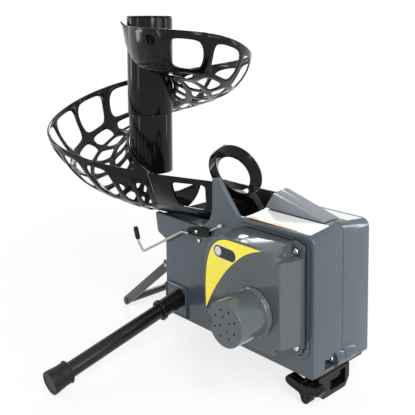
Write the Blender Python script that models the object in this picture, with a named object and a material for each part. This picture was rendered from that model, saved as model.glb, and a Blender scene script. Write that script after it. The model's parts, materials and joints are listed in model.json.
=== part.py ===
"""Soft toss machine: a spring-loaded arm flips each ball up out of a throat, a geared motor winds the arm
back, and a spiral ramp round a column rolls the next ball down to it.

Metres, Z up. X runs from the ramp to the launching end, Y = 0 is the seam plane between the two halves of
the housing and Z = 0 is the floor. Every x below is counted from the housing's end face, and the empty
machine_origin then moves the whole machine so that the middle of its footprint lies at the origin.
"""

import bisect
from math import acos, asin, atan2, cos, degrees, hypot, pi, radians, sin, sqrt, tan

import bmesh
import bpy
from mathutils import Matrix, Vector

# General
GAP = 0.0003
SEAM_GAP = 0.00015
PLASTIC_WALL = 0.0027

# Housing
HOUSING_LENGTH = 0.297
LEFT_END_X = -HOUSING_LENGTH
HALF_WIDTH = 0.061
BASE_Z = 0.035
SIDE_TOP_Z = 0.224
CROWN = 0.0055
TOP_CORNER = 0.012
EDGE_ROUND = 0.002
CORNER = 0.0036
LEDGE_Z = 0.190
LEDGE_REACH = 0.0265
LEDGE_FOOT_Z = 0.152
EAR_TOP_Z = 0.271
EAR_LEFT_X = -0.1895
EAR_TOP_WIDTH = 0.013
EAR_FOOT_X = -0.135
CUTOUT_RADIUS = 0.036
THROAT_RIGHT_X = -0.1275
THROAT_HALF = HALF_WIDTH - 0.0063

# Boss pair that clamps the seam on the end face
BOSS_RADIUS = 0.0125
BOSS_Z = 0.0480
BOSS_REACH = 0.006
BOSS_NEAR_Y = -0.016
BOSS_FAR_Y = 0.025
RECESS_LENGTH = 0.024

# Gearbox cover and motor cap
COVER_LEFT_X = -0.155
COVER_RIGHT_X = -0.016
COVER_TOP_Z = 0.207
COVER_FRONT_Y = -HALF_WIDTH - 0.047
COVER_BOTTOM_Z = 0.0755
COVER_CORNER = 0.030
COVER_LOW_CORNER = 0.038
COVER_FLARE = 0.002
NOTCH_CORNER = 0.0085
NOTCH_REACH = 0.006
NOTCH_CEILING = 0.0115
NOTCH_FLOOR = 0.003
TOP_SCREW = (-0.028, 0.200)
LOW_SCREW = (-0.026, 0.072)
TOP_LOBE = 0.014
LOW_LOBE = 0.009
MOTOR_AXIS = (-0.060, 0.1235)
CAP_RADIUS = 0.0295
CAP_LENGTH = 0.053
CAP_WALL = 0.0025
CAP_RING = 0.003
VENT_RADIUS = 0.0015
VENT_OUTER_CIRCLE = 0.0182
VENT_INNER_CIRCLE = 0.0093

# Drive
MOTOR_RADIUS = 0.021
MOTOR_END_CLEARANCE = 0.001
MOTOR_SHAFT_RADIUS = 0.002
FRAME_PLATE = 0.002
FRAME_OUTER_Y = -HALF_WIDTH - 0.0307
FRAME_POST = 0.0035
WHEEL_FACE = 0.007
GEAR_FACE = 0.009
GEAR_CLEARANCE = 0.0015
GEAR_MODULE = 0.0015
PINION_TEETH = 10
WHEEL_TEETH = 34
SECTOR_TEETH = 30
SECTOR_KEPT = 5
ARM_GEAR_TEETH = 24
AXLE_RADIUS = 0.003
SHAFT_RADIUS = 0.005
BUSH_RADIUS = 0.008
BUSH_FLANGE = 0.011

# Throwing arm
ARM_PIVOT = (-0.116, 0.169)
ARM_LENGTH = 0.1285
ARM_REST = 39.0
ARM_SWING = 45.0
RING_RADIUS = THROAT_HALF - 0.0088
RING_FRONT_RADIUS = RING_RADIUS - 0.0026
RING_HOLE = RING_RADIUS - 0.0166
RING_WALL = 0.0024
RING_FRONT = 0.0045
RING_BACK = -0.0096
STEM_WIDTH = 0.018
STEM_THICKNESS = 0.011
HUB_RADIUS = 0.011
HUB_HALF = 0.012
BUMPER_RADIUS = 0.005
BUMPER_ALONG = 0.050
BUMPER_HALF = 0.014
SPRING_WIRE = 0.00125
SPRING_COIL = 0.0085
SPRING_TURNS = 6
SPRING_STEPS = 10
SPRING_PITCH = 0.0032
SPRING_LEG = 0.012
PEG_RADIUS = 0.002
POST_RADIUS = 0.003

# Throat liner and the ridge over the seam
LINER_WALL = 0.003
LINER_TOP_Z = 0.2205
LINER_FAR_TOP_Z = 0.232
LINER_LEFT_X = LEFT_END_X + 0.014
LINER_STEP_X = -0.165
LINER_BOTTOM_Z = 0.172
RIDGE_LEFT_X = -0.126
RIDGE_TOP_X = -0.111
RIDGE_RIGHT_X = -0.020
RIDGE_TOP_Z = 0.255
RIDGE_NEAR_Y = -0.015
RIDGE_FAR_Y = 0.017
RIDGE_STEP = 0.0015

# Ball lever on the near face
LEVER_PIVOT = (-0.2165, 0.184)
LEVER_THICKNESS = 0.005
LEVER_TIP = (-0.167, 0.203)
LEVER_HEEL = (-0.240, 0.1775)
LEVER_TIP_RADIUS = 0.0045
LEVER_HUB_RADIUS = 0.0075
LEVER_HEEL_RADIUS = 0.0065
WIRE_RADIUS = 0.002
WIRE_PATH = [(-0.232, 0.1785), (-0.2475, 0.1775), (-0.346, 0.122), (-0.3572, 0.1335), (-0.3595, 0.139)]
WIRE_BENDS = [0, 0.010, 0.006, 0.003, 0]
GRIP_END = (-0.3665, 0.159)
GRIP_RADIUS = 0.004
STOP_SCREW = (-0.2167, 0.169)
SCREW_HEAD = 0.0045
SCREW_HEAD_HEIGHT = 0.0025
SCREW_SHANK = 0.0019
COVER_SCREW_HEAD = 0.0048

# Legs
LEG_X = LEFT_END_X + 0.035
LEG_START_Z = 0.0682
LEG_SLOPE = 12.8
LEG_RADIUS = 0.011
LEG_WALL = 0.0015
LEG_INSERT = 0.030
SOCKET_RADIUS = 0.0135
SOCKET_LENGTH = 0.044
SOCKET_LIP = 0.0022
FOOT_CAP_RADIUS = 0.0165
FOOT_CAP_LENGTH = 0.030
FOOT_CAP_LIP = 0.002
FLANGE_LEFT_X = LEG_X - 0.019
FLANGE_RIGHT_X = LEG_X + 0.025
FLANGE_BOTTOM_Z = 0.0435
FLANGE_TOP_Z = 0.088
FLANGE_DEPTH = 0.011

# Folding stand under the ramp
STAND_PIVOT = (LEFT_END_X - 0.012, 0.1045)
STAND_FOOT_X = LEFT_END_X - 0.130
STRAP_WIDTH = 0.0147
STRAP_THICKNESS = 0.0035
STRAP_INNER_Y = HALF_WIDTH - 0.0175
STAND_TUBE_RADIUS = 0.006
STAND_ROD_RADIUS = 0.003
STAND_BRACKET_THICKNESS = 0.003
RIVET_SHANK = 0.0025
RIVET_HEAD = 0.0045

# Base plate, tilting foot and its star knob
PLATE_LEFT_X = LEFT_END_X + 0.007
PLATE_RIGHT_X = -0.004
PLATE_NEAR_Y = -HALF_WIDTH + 0.015
PLATE_FAR_Y = HALF_WIDTH - 0.004
PLATE_THICKNESS = 0.0037
FOOT_PIVOT = (-0.0155, 0.018)
FOOT_FRONT_X = -0.003
FOOT_BACK_RADIUS = 0.0125
FOOT_NEAR_Y = PLATE_NEAR_Y
FOOT_FAR_Y = 0.021
FOOT_TAPER = 0.009
FOOT_WALL = 0.0035
FOOT_SOLE = 0.005
FOOT_WINDOW = (-0.022, 0.012)
LUG_NEAR_Y = -0.019
LUG_FAR_Y = 0.009
LUG_RADIUS = 0.0082
BOLT_RADIUS = 0.003
KNOB_HUB = 0.009
KNOB_DEPTH = 0.018
KNOB_LOBE = 0.0068
KNOB_LOBES = [(169, 0.031), (16, 0.028), (-75, 0.0175)]
NUT_RADIUS = 0.0058
NUT_HEIGHT = 0.005

# Column and ball ramp
COLUMN_X = -0.410
COLUMN_TOP_Z = 0.506
COLUMN_SEAM_Z = 0.338
COLUMN_BOTTOM_Z = 0.236
UPPER_TUBE_RADIUS = 0.0392
LOWER_TUBE_RADIUS = 0.0375
TUBE_WALL = 0.003
SPIGOT = 0.022
CAP_PLUG = 0.008
CAP_FLANGE = 0.0025
RAMP_RADIUS = 0.177
RAMP_START_RADIUS = 0.048
RAMP_TOP_Z = 0.495
RAMP_EXIT_Z = 0.270
RAMP_DEPTH = 0.077
RAMP_WALL = 0.0028
RAMP_LEAN = 6.0
RAMP_BAR = 0.0115
JOINT_BAR = 0.0175
RIM_BAND = 0.13
SPREAD = [(-133, 0), (-100, 0.016), (-80, 0.062), (-60, 0.217), (-40, 0.465), (-20, 0.729), (0, 0.915),
          (20, 0.99), (40, 1), (300, 1)]
DROP = [(-133, 0), (-90, 0.022), (-38, 0.04), (-6, 0.071), (43, 0.24), (100, 0.373), (156, 0.507),
        (222, 0.751), (270, 0.88), (322, 1)]
DEPTH = [(-133, 0.23), (-90, 0.58), (-43, 0.91), (0, 1), (320, 1)]
SEAT_DROP = [(-133, 0.020), (-90, 0.042), (-43, 0.0665), (46, 0.052), (136, 0.047), (226, 0.027),
             (320, 0.029)]
FULLNESS = [(-133, 0.7), (-100, 1.0), (-75, 1.85), (90, 1.85), (170, 1.55), (320, 1.55)]
ROWS = [0, 0.635, 0.965, 1.39, 1.80, 2]
UPPER_POSTS = [-133, -105, -78, -54, -29, -4.5]
MIDDLE_POSTS = [-4.5, 21, 46, 70, 97, 121, 146, 171]
LOWER_POSTS = [171, 195.5, 220, 243, 265.5, 283, 300, 310, 320]
SLOT_TILE = {(3, 0): (0.46, 0.27, 0.17, 0.60)}
END_TILES = {(6, 0): (0.14, 0.14, 0.42, 0.07), (7, 0): (0.14, 0.30, 0.38, 0.07)}

# Exit chute
CHUTE_END_Z = 0.264
CHUTE_FLOOR_Z = 0.1905
CHUTE_NEAR_Y = -HALF_WIDTH + 0.004
CHUTE_FAR_TOP_Z = 0.230
CHUTE_WALL = 0.003
CHUTE_FIT = 0.0008
CHUTE_DIP = [(0, 0.020), (0.2, 0.027), (0.33, 0.015), (0.41, 0.0065), (0.5, 0), (1, 0)]
CHUTE_WINDOW = [(-0.2452, 0.2187, 0.006), (-0.2008, 0.2178, 0.008), (-0.2008, 0.2556, 0.006),
                (-0.2452, 0.2583, 0.005)]
FLOOR_OPEN_X = ARM_PIVOT[0] - ARM_LENGTH - RING_RADIUS - 0.0026
FLOOR_OPEN_HALF = RING_RADIUS + 0.0013

# Batteries, their tray and door, the switch and the board
CELL_RADIUS = 0.0171
CELL_LENGTH = 0.0605
CELL_NUB = 0.0045
CELL_GAP = 0.0006
TRAY_FROM_LEG = 0.164
TRAY_RIGHT_X = LEG_X + TRAY_FROM_LEG
TRAY_WALL = 0.002
TRAY_FAR_Y = HALF_WIDTH - 0.0038
DOOR_CLEARANCE = 0.0005
DOOR_HINGE_OUT = 0.0032
DOOR_HINGE_DOWN = 0.0015
DOOR_KNUCKLE = 0.0026
DOOR_PIN = 0.0012
DOOR_STUB = 0.004
SWITCH_X = -0.045
SWITCH_Z = 0.190
SWITCH_WIDTH = 0.022
SWITCH_HEIGHT = 0.016
SWITCH_BEZEL = 0.003
SWITCH_TILT = 6.0
BOARD_X = -0.055
BOARD_Z = 0.115
BOARD_WIDTH = 0.066
BOARD_HEIGHT = 0.040
BOARD_THICKNESS = 0.0016
BOARD_Y = HALF_WIDTH - 0.025

NEAR = -1
FAR = 1

NEAR_INNER_Y = -HALF_WIDTH + PLASTIC_WALL
FOOTPRINT_LEFT_X = COLUMN_X - RAMP_RADIUS
MIDDLE_X = (FOOTPRINT_LEFT_X + BOSS_REACH) / 2


# Shapes


def drop(thing):
    """Removes a helper object and its mesh."""
    mesh = thing.data
    bpy.data.objects.remove(thing)
    bpy.data.meshes.remove(mesh)


def solid(bm):
    """A closed mesh object with its faces pointing out."""
    bmesh.ops.remove_doubles(bm, verts=bm.verts, dist=1e-7)
    bmesh.ops.recalc_face_normals(bm, faces=bm.faces)
    bmesh.ops.triangulate(bm, faces=bm.faces)
    mesh = bpy.data.meshes.new("shape")
    bm.to_mesh(mesh)
    bm.free()
    shape = bpy.data.objects.new("shape", mesh)
    bpy.context.scene.collection.objects.link(shape)
    return shape


def skin(loops):
    """A solid through closed loops of as many points each, capped at both ends."""
    bm = bmesh.new()
    rings = [[bm.verts.new(point) for point in loop] for loop in loops]
    count = len(rings[0])
    for lower, upper in zip(rings, rings[1:]):
        for i in range(count):
            j = (i + 1) % count
            bm.faces.new((lower[i], lower[j], upper[j], upper[i]))
    for cap in (rings[0], rings[-1]):
        face = bm.faces.new(cap)
        face.normal_update()
        bmesh.ops.triangulate(bm, faces=[face])
    return solid(bm)


def placed(outline, level, axis):
    """The points of a flat outline at a level along X, Y or Z."""
    if axis == "X":
        return [(level, u, v) for u, v in outline]
    if axis == "Y":
        return [(u, level, v) for u, v in outline]
    return [(u, v, level) for u, v in outline]


def prism(outline, low, high, axis="Y"):
    return skin([placed(outline, low, axis), placed(outline, high, axis)])


def block(x0, x1, y0, y1, z0, z1):
    return prism([(x0, z0), (x1, z0), (x1, z1), (x0, z1)], y0, y1)


def rounded(corners, steps=4):
    """An outline whose corners (u, v, radius) are turned into arcs."""
    outline = []
    count = len(corners)
    for i, (u, v, radius) in enumerate(corners):
        here = Vector((u, v))
        if radius <= 0:
            outline.append((u, v))
            continue
        before = (Vector(corners[i - 1][:2]) - here).normalized()
        after = (Vector(corners[(i + 1) % count][:2]) - here).normalized()
        half = acos(max(-1, min(1, before.dot(after)))) / 2
        centre = here + (before + after).normalized() * (radius / sin(half))
        start = here + before * (radius / tan(half)) - centre
        end = here + after * (radius / tan(half)) - centre
        first = atan2(start.y, start.x)
        turn = (atan2(end.y, end.x) - first + pi) % (2 * pi) - pi
        for k in range(steps + 1):
            angle = first + turn * k / steps
            outline.append((centre.x + radius * cos(angle), centre.y + radius * sin(angle)))
    return outline


def inset(outline, distance):
    """The same outline moved inwards, point for point."""
    area = sum(a[0] * b[1] - b[0] * a[1] for a, b in zip(outline, outline[1:] + outline[:1]))
    side = 1 if area > 0 else -1
    moved = []
    for i, point in enumerate(outline):
        here = Vector(point)
        before = (here - Vector(outline[i - 1])).normalized()
        after = (Vector(outline[(i + 1) % len(outline)]) - here).normalized()
        normal = Vector((-before.y - after.y, before.x + after.x)) * side
        normal.normalize()
        edge = Vector((-before.y, before.x)) * side
        moved.append(tuple(here + normal * (distance / max(0.3, normal.dot(edge)))))
    return moved


def turned(profile, sides):
    """A profile of (radius, height) turned round Z; points on the axis close it."""
    bm = bmesh.new()
    rings = []
    for radius, height in profile:
        if radius <= 0:
            rings.append([bm.verts.new((0, 0, height))])
        else:
            rings.append([bm.verts.new((radius * cos(2 * pi * k / sides), radius * sin(2 * pi * k / sides),
                                        height)) for k in range(sides)])
    pairs = list(zip(rings, rings[1:]))
    if profile[0][0] > 0:
        pairs.append((rings[-1], rings[0]))
    for first, second in pairs:
        for k in range(sides):
            n = (k + 1) % sides
            if len(first) == 1:
                bm.faces.new((first[0], second[k], second[n]))
            elif len(second) == 1:
                bm.faces.new((first[n], first[k], second[0]))
            else:
                bm.faces.new((first[k], first[n], second[n], second[k]))
    return solid(bm)


def rod(start, end, radius, sides=16, bore=0.0):
    """A round bar or tube between two points."""
    axis = Vector(end) - Vector(start)
    if bore > 0:
        profile = [(bore, 0), (radius, 0), (radius, axis.length), (bore, axis.length)]
    else:
        profile = [(0, 0), (radius, 0), (radius, axis.length), (0, axis.length)]
    return aim(turned(profile, sides), start, end)


def aim(shape, start, end):
    """Moves a shape turned round Z to start, with its axis towards end."""
    direction = (Vector(end) - Vector(start)).normalized()
    turn = Vector((0, 0, 1)).rotation_difference(direction).to_matrix().to_4x4()
    shape.data.transform(Matrix.Translation(Vector(start)) @ turn)
    return shape


def sweep(points, radius, sides):
    """A round bar bent along points."""
    points = [Vector(p) for p in points]
    bm = bmesh.new()
    normal = None
    rings = []
    for i, point in enumerate(points):
        ahead = points[min(i + 1, len(points) - 1)] - point
        behind = point - points[max(i - 1, 0)]
        tangent = (ahead.normalized() + behind.normalized()).normalized()
        if normal is None:
            normal = tangent.orthogonal().normalized()
        normal = (normal - tangent * normal.dot(tangent)).normalized()
        side = tangent.cross(normal)
        rings.append([bm.verts.new(point + (normal * cos(a) + side * sin(a)) * radius)
                      for a in (2 * pi * k / sides for k in range(sides))])
    for lower, upper in zip(rings, rings[1:]):
        for k in range(sides):
            n = (k + 1) % sides
            bm.faces.new((lower[k], lower[n], upper[n], upper[k]))
    bm.faces.new(rings[0])
    bm.faces.new(rings[-1])
    return solid(bm)


def combine(shape, tools, operation):
    """Applies Booleans with helper shapes, which are used up."""
    for tool in tools:
        step = shape.modifiers.new(operation.lower(), "BOOLEAN")
        step.operation = operation
        step.object = tool
    graph = bpy.context.evaluated_depsgraph_get()
    mesh = bpy.data.meshes.new_from_object(shape.evaluated_get(graph))
    shape.modifiers.clear()
    before = shape.data
    shape.data = mesh
    bpy.data.meshes.remove(before)
    for tool in tools:
        drop(tool)
    bm = bmesh.new()
    bm.from_mesh(mesh)
    bmesh.ops.remove_doubles(bm, verts=bm.verts, dist=1e-5)
    bmesh.ops.dissolve_limit(bm, angle_limit=radians(0.1), verts=bm.verts, edges=bm.edges)
    bmesh.ops.triangulate(bm, faces=bm.faces)
    bm.to_mesh(mesh)
    bm.free()
    return shape


def cut(shape, *tools):
    return combine(shape, tools, "DIFFERENCE")


def join(shape, *tools):
    return combine(shape, tools, "UNION")


def common(shape, tool):
    return combine(shape, (tool,), "INTERSECT")


def across(x, z, y0, y1, radius, sides=16, bore=0.0):
    """A round bar along Y."""
    return rod((x, y0, z), (x, y1, z), radius, sides, bore)


def monotone(table, at):
    """A smooth value between the stations of a table, without overshoot."""
    keys = [key for key, _ in table]
    values = [value for _, value in table]
    at = min(max(at, keys[0]), keys[-1])
    steps = [(v2 - v1) / (k2 - k1) for (k1, v1), (k2, v2) in zip(table, table[1:])]
    slopes = [steps[0]]
    for left, right in zip(steps, steps[1:]):
        slopes.append(0 if left * right <= 0 else 2 * left * right / (left + right))
    slopes.append(steps[-1])
    i = min(bisect.bisect_right(keys, at) - 1, len(steps) - 1)
    width = keys[i + 1] - keys[i]
    t = (at - keys[i]) / width
    return (values[i] * (1 + 2 * t) * (1 - t) ** 2 + values[i + 1] * t * t * (3 - 2 * t)
            + width * (slopes[i] * t * (1 - t) ** 2 + slopes[i + 1] * t * t * (t - 1)))


# Materials

COLOURS = {
    "shell_grey": ((0.105, 0.130, 0.145), 0.42, 0.0),
    "cover_grey": ((0.120, 0.135, 0.145), 0.42, 0.0),
    "gloss_black": ((0.012, 0.012, 0.014), 0.22, 0.0),
    "satin_black": ((0.016, 0.016, 0.017), 0.45, 0.0),
    "rubber": ((0.020, 0.020, 0.020), 0.80, 0.0),
    "ridge_grey": ((0.300, 0.320, 0.330), 0.45, 0.0),
    "steel": ((0.600, 0.600, 0.600), 0.30, 1.0),
    "strap_steel": ((0.060, 0.055, 0.052), 0.45, 0.6),
    "gear_white": ((0.800, 0.790, 0.740), 0.45, 0.0),
    "copper_green": ((0.030, 0.180, 0.070), 0.40, 0.0),
    "cell_jacket": ((0.750, 0.560, 0.160), 0.35, 0.3),
}


def material(name):
    found = bpy.data.materials.get(name)
    if found:
        return found
    colour, roughness, metallic = COLOURS[name]
    made = bpy.data.materials.new(name)
    made.use_nodes = True
    shader = made.node_tree.nodes["Principled BSDF"]
    shader.inputs["Base Color"].default_value = (*colour, 1)
    shader.inputs["Roughness"].default_value = roughness
    shader.inputs["Metallic"].default_value = metallic
    return made


def finish(shape, name, finish_name, origin=(0, 0, 0)):
    """Names a piece, gives it its material and puts its origin on its own axis or place."""
    shape.name = name
    shape.data.name = name
    shape.data.materials.clear()
    shape.data.materials.append(material(finish_name))
    shape.data.shade_smooth()
    shape.data.set_sharp_from_angle(angle=radians(35))
    shape.data.transform(Matrix.Translation(-Vector(origin)))
    shape.location = origin
    shape.parent = bpy.data.objects["machine_origin"]
    return shape


# Housing


def top_z(x, y):
    """Height of the housing's top skin, which rises towards the seam."""
    return SIDE_TOP_Z + CROWN * (1 - abs(y) / HALF_WIDTH)


def near_outline():
    return rounded([
        (LEFT_END_X, BASE_Z, CORNER),
        (0, BASE_Z, CORNER),
        (0, SIDE_TOP_Z, TOP_CORNER),
        (EAR_FOOT_X, SIDE_TOP_Z - 0.002, 0),
        (EAR_LEFT_X + EAR_TOP_WIDTH, EAR_TOP_Z, CORNER),
        (EAR_LEFT_X, EAR_TOP_Z - 0.002, CORNER),
        (EAR_LEFT_X, LEDGE_Z, CUTOUT_RADIUS),
        (LEFT_END_X - LEDGE_REACH, LEDGE_Z + 0.002, CORNER),
        (LEFT_END_X - LEDGE_REACH + 0.006, LEDGE_FOOT_Z + 0.008, 0.006),
        (LEFT_END_X, LEDGE_FOOT_Z, 0.003),
    ])


def far_outline():
    return rounded([
        (LEFT_END_X, BASE_Z, CORNER),
        (0, BASE_Z, CORNER),
        (0, SIDE_TOP_Z, TOP_CORNER),
        (LEFT_END_X + 0.004, SIDE_TOP_Z, 0.006),
        (LEFT_END_X, LEDGE_Z + 0.002, 0.004),
        (LEFT_END_X - LEDGE_REACH, LEDGE_Z + 0.002, CORNER),
        (LEFT_END_X - LEDGE_REACH + 0.006, LEDGE_FOOT_Z + 0.008, 0.006),
        (LEFT_END_X, LEDGE_FOOT_Z, 0.003),
    ])


def crowned(points, limit_x):
    """Raises the top skin at the seam, right of the throat."""
    return [(x, y, z + CROWN if z > SIDE_TOP_Z - TOP_CORNER / 2 and x > limit_x else z)
            for x, y, z in points]


def half_shell(outline, side):
    """A hollow half of the housing, open at the seam plane."""
    flat = side * HALF_WIDTH
    limit = THROAT_RIGHT_X - 0.02
    inner = inset(outline, PLASTIC_WALL)
    return skin([
        placed(inset(outline, EDGE_ROUND), flat, "Y"),
        placed(outline, flat - side * EDGE_ROUND, "Y"),
        crowned(placed(outline, side * SEAM_GAP, "Y"), limit),
        crowned(placed(inner, side * SEAM_GAP, "Y"), limit),
        placed(inner, flat - side * PLASTIC_WALL, "Y"),
    ])


def throat_cutter():
    return block(LEFT_END_X - 2 * LEDGE_REACH, THROAT_RIGHT_X, -THROAT_HALF, THROAT_HALF,
                 LEDGE_Z - 0.0035, EAR_TOP_Z + 0.05)


def through_side(side):
    """A span along Y that passes right through a side wall."""
    return sorted((side * (HALF_WIDTH - 0.011), side * (HALF_WIDTH + 0.009)))


def end_boss(y0, y1):
    return across(BOSS_REACH - BOSS_RADIUS, BOSS_Z, y0, y1, BOSS_RADIUS)


def leg_direction(side):
    return Vector((0, side * cos(radians(LEG_SLOPE)), -sin(radians(LEG_SLOPE))))


def leg_point(side, along):
    """A point on the leg's axis, at a distance outwards from the housing's face."""
    start = Vector((LEG_X, side * HALF_WIDTH, LEG_START_Z))
    return start + leg_direction(side) * along


def leg_hole(side):
    return rod(leg_point(side, -0.045), leg_point(side, 0.040), SOCKET_RADIUS + GAP, 20)


def leg_flange(side):
    """The raised pad that a leg's socket comes out of."""
    outline = rounded([
        (FLANGE_LEFT_X, FLANGE_BOTTOM_Z, 0), (FLANGE_RIGHT_X, FLANGE_BOTTOM_Z, 0),
        (FLANGE_RIGHT_X, FLANGE_TOP_Z, 0.004), (FLANGE_LEFT_X, FLANGE_TOP_Z, 0.004)])
    return skin([
        placed(outline, side * (HALF_WIDTH - 0.001), "Y"),
        placed(outline, side * (HALF_WIDTH + FLANGE_DEPTH - 0.002), "Y"),
        placed(inset(outline, 0.002), side * (HALF_WIDTH + FLANGE_DEPTH), "Y")])


def make_near_shell():
    shell = half_shell(near_outline(), NEAR)
    recess = (BOSS_REACH - BOSS_RADIUS, BOSS_Z, BOSS_NEAR_Y - RECESS_LENGTH)
    shell = join(shell, end_boss(BOSS_NEAR_Y, -2 * SEAM_GAP), leg_flange(NEAR),
                 common(across(*recess, BOSS_NEAR_Y + 0.003, BOSS_RADIUS - 0.0015),
                        block(-0.05, -0.0005, -HALF_WIDTH, 0, 0, SIDE_TOP_Z)))
    tools = [
        throat_cutter(),
        across(*ARM_PIVOT, *through_side(NEAR), BUSH_RADIUS + GAP),
        leg_hole(NEAR),
        across(*TOP_SCREW, *through_side(NEAR), SCREW_SHANK + GAP, 10),
        across(*LOW_SCREW, *through_side(NEAR), SCREW_SHANK + GAP, 10),
        across(*LEVER_PIVOT, *through_side(NEAR), RIVET_SHANK + GAP, 10),
        across(*STOP_SCREW, *through_side(NEAR), SCREW_SHANK + GAP, 10),
        across(BOSS_REACH - BOSS_RADIUS, BOSS_Z, -0.025, 0.010, SCREW_SHANK + GAP, 10),
        across(*recess[:2], recess[2] + 0.0022, BOSS_NEAR_Y, BOSS_RADIUS - 0.004),
    ]
    finish(cut(shell, *tools), "near_shell", "shell_grey")


def make_far_shell():
    shell = half_shell(far_outline(), FAR)
    inner = HALF_WIDTH - PLASTIC_WALL / 2
    shell = join(
        shell,
        end_boss(2 * SEAM_GAP, BOSS_FAR_Y),
        leg_flange(FAR),
        across(*spring_post(), spring_far_y() - 0.005, inner, POST_RADIUS, 10),
        across(BOARD_X - 0.026, BOARD_Z + 0.014, BOARD_Y + BOARD_THICKNESS + GAP, inner, 0.003, 10),
        across(BOARD_X + 0.026, BOARD_Z - 0.014, BOARD_Y + BOARD_THICKNESS + GAP, inner, 0.003, 10),
        *door_knuckles(),
    )
    opening = door_opening()
    tools = [
        throat_cutter(),
        across(*ARM_PIVOT, *through_side(FAR), BUSH_RADIUS + GAP),
        leg_hole(FAR),
        block(opening[0], opening[1], through_side(FAR)[0], HALF_WIDTH + 0.0003, opening[2], opening[3]),
        block(SWITCH_X - SWITCH_WIDTH / 2, SWITCH_X + SWITCH_WIDTH / 2, *through_side(FAR),
              SWITCH_Z - SWITCH_HEIGHT / 2, SWITCH_Z + SWITCH_HEIGHT / 2),
        across(BOSS_REACH - BOSS_RADIUS, BOSS_Z, -0.010, BOSS_FAR_Y - 0.004, SCREW_SHANK + GAP, 10),
    ]
    finish(cut(shell, *tools), "far_shell", "shell_grey")


def make_seam_screw():
    x = BOSS_REACH - BOSS_RADIUS
    head = BOSS_NEAR_Y - GAP
    profile = [(0, 0), (SCREW_HEAD, 0), (SCREW_HEAD, SCREW_HEAD_HEIGHT), (SCREW_SHANK, SCREW_HEAD_HEIGHT),
               (SCREW_SHANK, SCREW_HEAD_HEIGHT + 0.032), (0, SCREW_HEAD_HEIGHT + 0.032)]
    screw = aim(turned(profile, 10), (x, head - SCREW_HEAD_HEIGHT, BOSS_Z), (x, 0, BOSS_Z))
    finish(screw, "seam_screw", "steel", (x, head, BOSS_Z))


def ridge_loop(y, drop_by):
    base = top_z(0, y) + GAP
    return [
        (RIDGE_LEFT_X, y, base),
        (RIDGE_RIGHT_X, y, base),
        (RIDGE_RIGHT_X, y, base + 0.0015),
        (RIDGE_TOP_X, y, RIDGE_TOP_Z - drop_by),
    ]


def make_top_ridge():
    """A wedge over the seam with three steps along its top."""
    middle = (RIDGE_NEAR_Y + RIDGE_FAR_Y) / 2
    width = RIDGE_FAR_Y - RIDGE_NEAR_Y
    stations = [(RIDGE_NEAR_Y, RIDGE_STEP * 3), (RIDGE_NEAR_Y + 0.001, RIDGE_STEP * 2)]
    stations += [(middle - width * 0.18, RIDGE_STEP * 2), (middle - width * 0.15, RIDGE_STEP)]
    stations += [(0, RIDGE_STEP), (middle + width * 0.15, RIDGE_STEP), (middle + width * 0.18, 0)]
    stations += [(RIDGE_FAR_Y - 0.001, 0), (RIDGE_FAR_Y, RIDGE_STEP)]
    stations.sort()
    finish(skin([ridge_loop(y, drop_by) for y, drop_by in stations]), "top_ridge", "ridge_grey")


def liner_inner():
    return THROAT_HALF - GAP - LINER_WALL


def bumper_centre():
    """The bumper lies against the front of the resting arm's stem."""
    lean = radians(ARM_REST)
    out = STEM_WIDTH / 2 + GAP + BUMPER_RADIUS
    return (ARM_PIVOT[0] - sin(lean) * BUMPER_ALONG + cos(lean) * out,
            ARM_PIVOT[1] + cos(lean) * BUMPER_ALONG + sin(lean) * out)


def make_throat_liner():
    outer = THROAT_HALF - GAP
    inner = liner_inner()
    wall_x = bumper_centre()[0] + BUMPER_RADIUS + GAP
    right = wall_x + LINER_WALL
    liner = block(LINER_LEFT_X, right, inner, outer, LINER_BOTTOM_Z, LINER_TOP_Z)
    liner = join(
        liner,
        block(LINER_LEFT_X, LINER_STEP_X, inner, outer, LINER_TOP_Z - 0.01, LINER_FAR_TOP_Z),
        block(wall_x, right, -outer, outer, bumper_centre()[1] - BUMPER_RADIUS - 0.004, LINER_TOP_Z),
        block(EAR_LEFT_X + 0.004, right, -outer, -inner, LINER_BOTTOM_Z, LINER_TOP_Z),
    )
    finish(liner, "throat_liner", "satin_black")


def make_stop_bumper():
    x, z = bumper_centre()
    finish(across(x, z, -BUMPER_HALF, BUMPER_HALF, BUMPER_RADIUS, 12), "stop_bumper", "rubber", (x, 0, z))


# Gearbox cover and motor


def cover_outline(grow):
    left = COVER_LEFT_X - grow
    right = COVER_RIGHT_X + grow
    return rounded([
        (left, COVER_BOTTOM_Z - grow, COVER_LOW_CORNER),
        (right, COVER_BOTTOM_Z - grow, 0.004),
        (right, COVER_TOP_Z + grow, 0.004),
        (left, COVER_TOP_Z + grow, COVER_CORNER),
    ])


def cover_notch(screw, reach, up, wall):
    """A bar along Y round a cover screw, open to the right and upwards or downwards."""
    x, z = screw
    left = x - NOTCH_REACH - wall
    level = z - up * (reach + wall)
    right = COVER_RIGHT_X + 0.02
    far = z + up * 0.05
    outline = rounded([(left, far, 0), (left, level, NOTCH_CORNER + wall), (right, level, 0), (right, far, 0)])
    return prism(outline, COVER_FRONT_Y - 0.02, -HALF_WIDTH - GAP - NOTCH_FLOOR)


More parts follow.
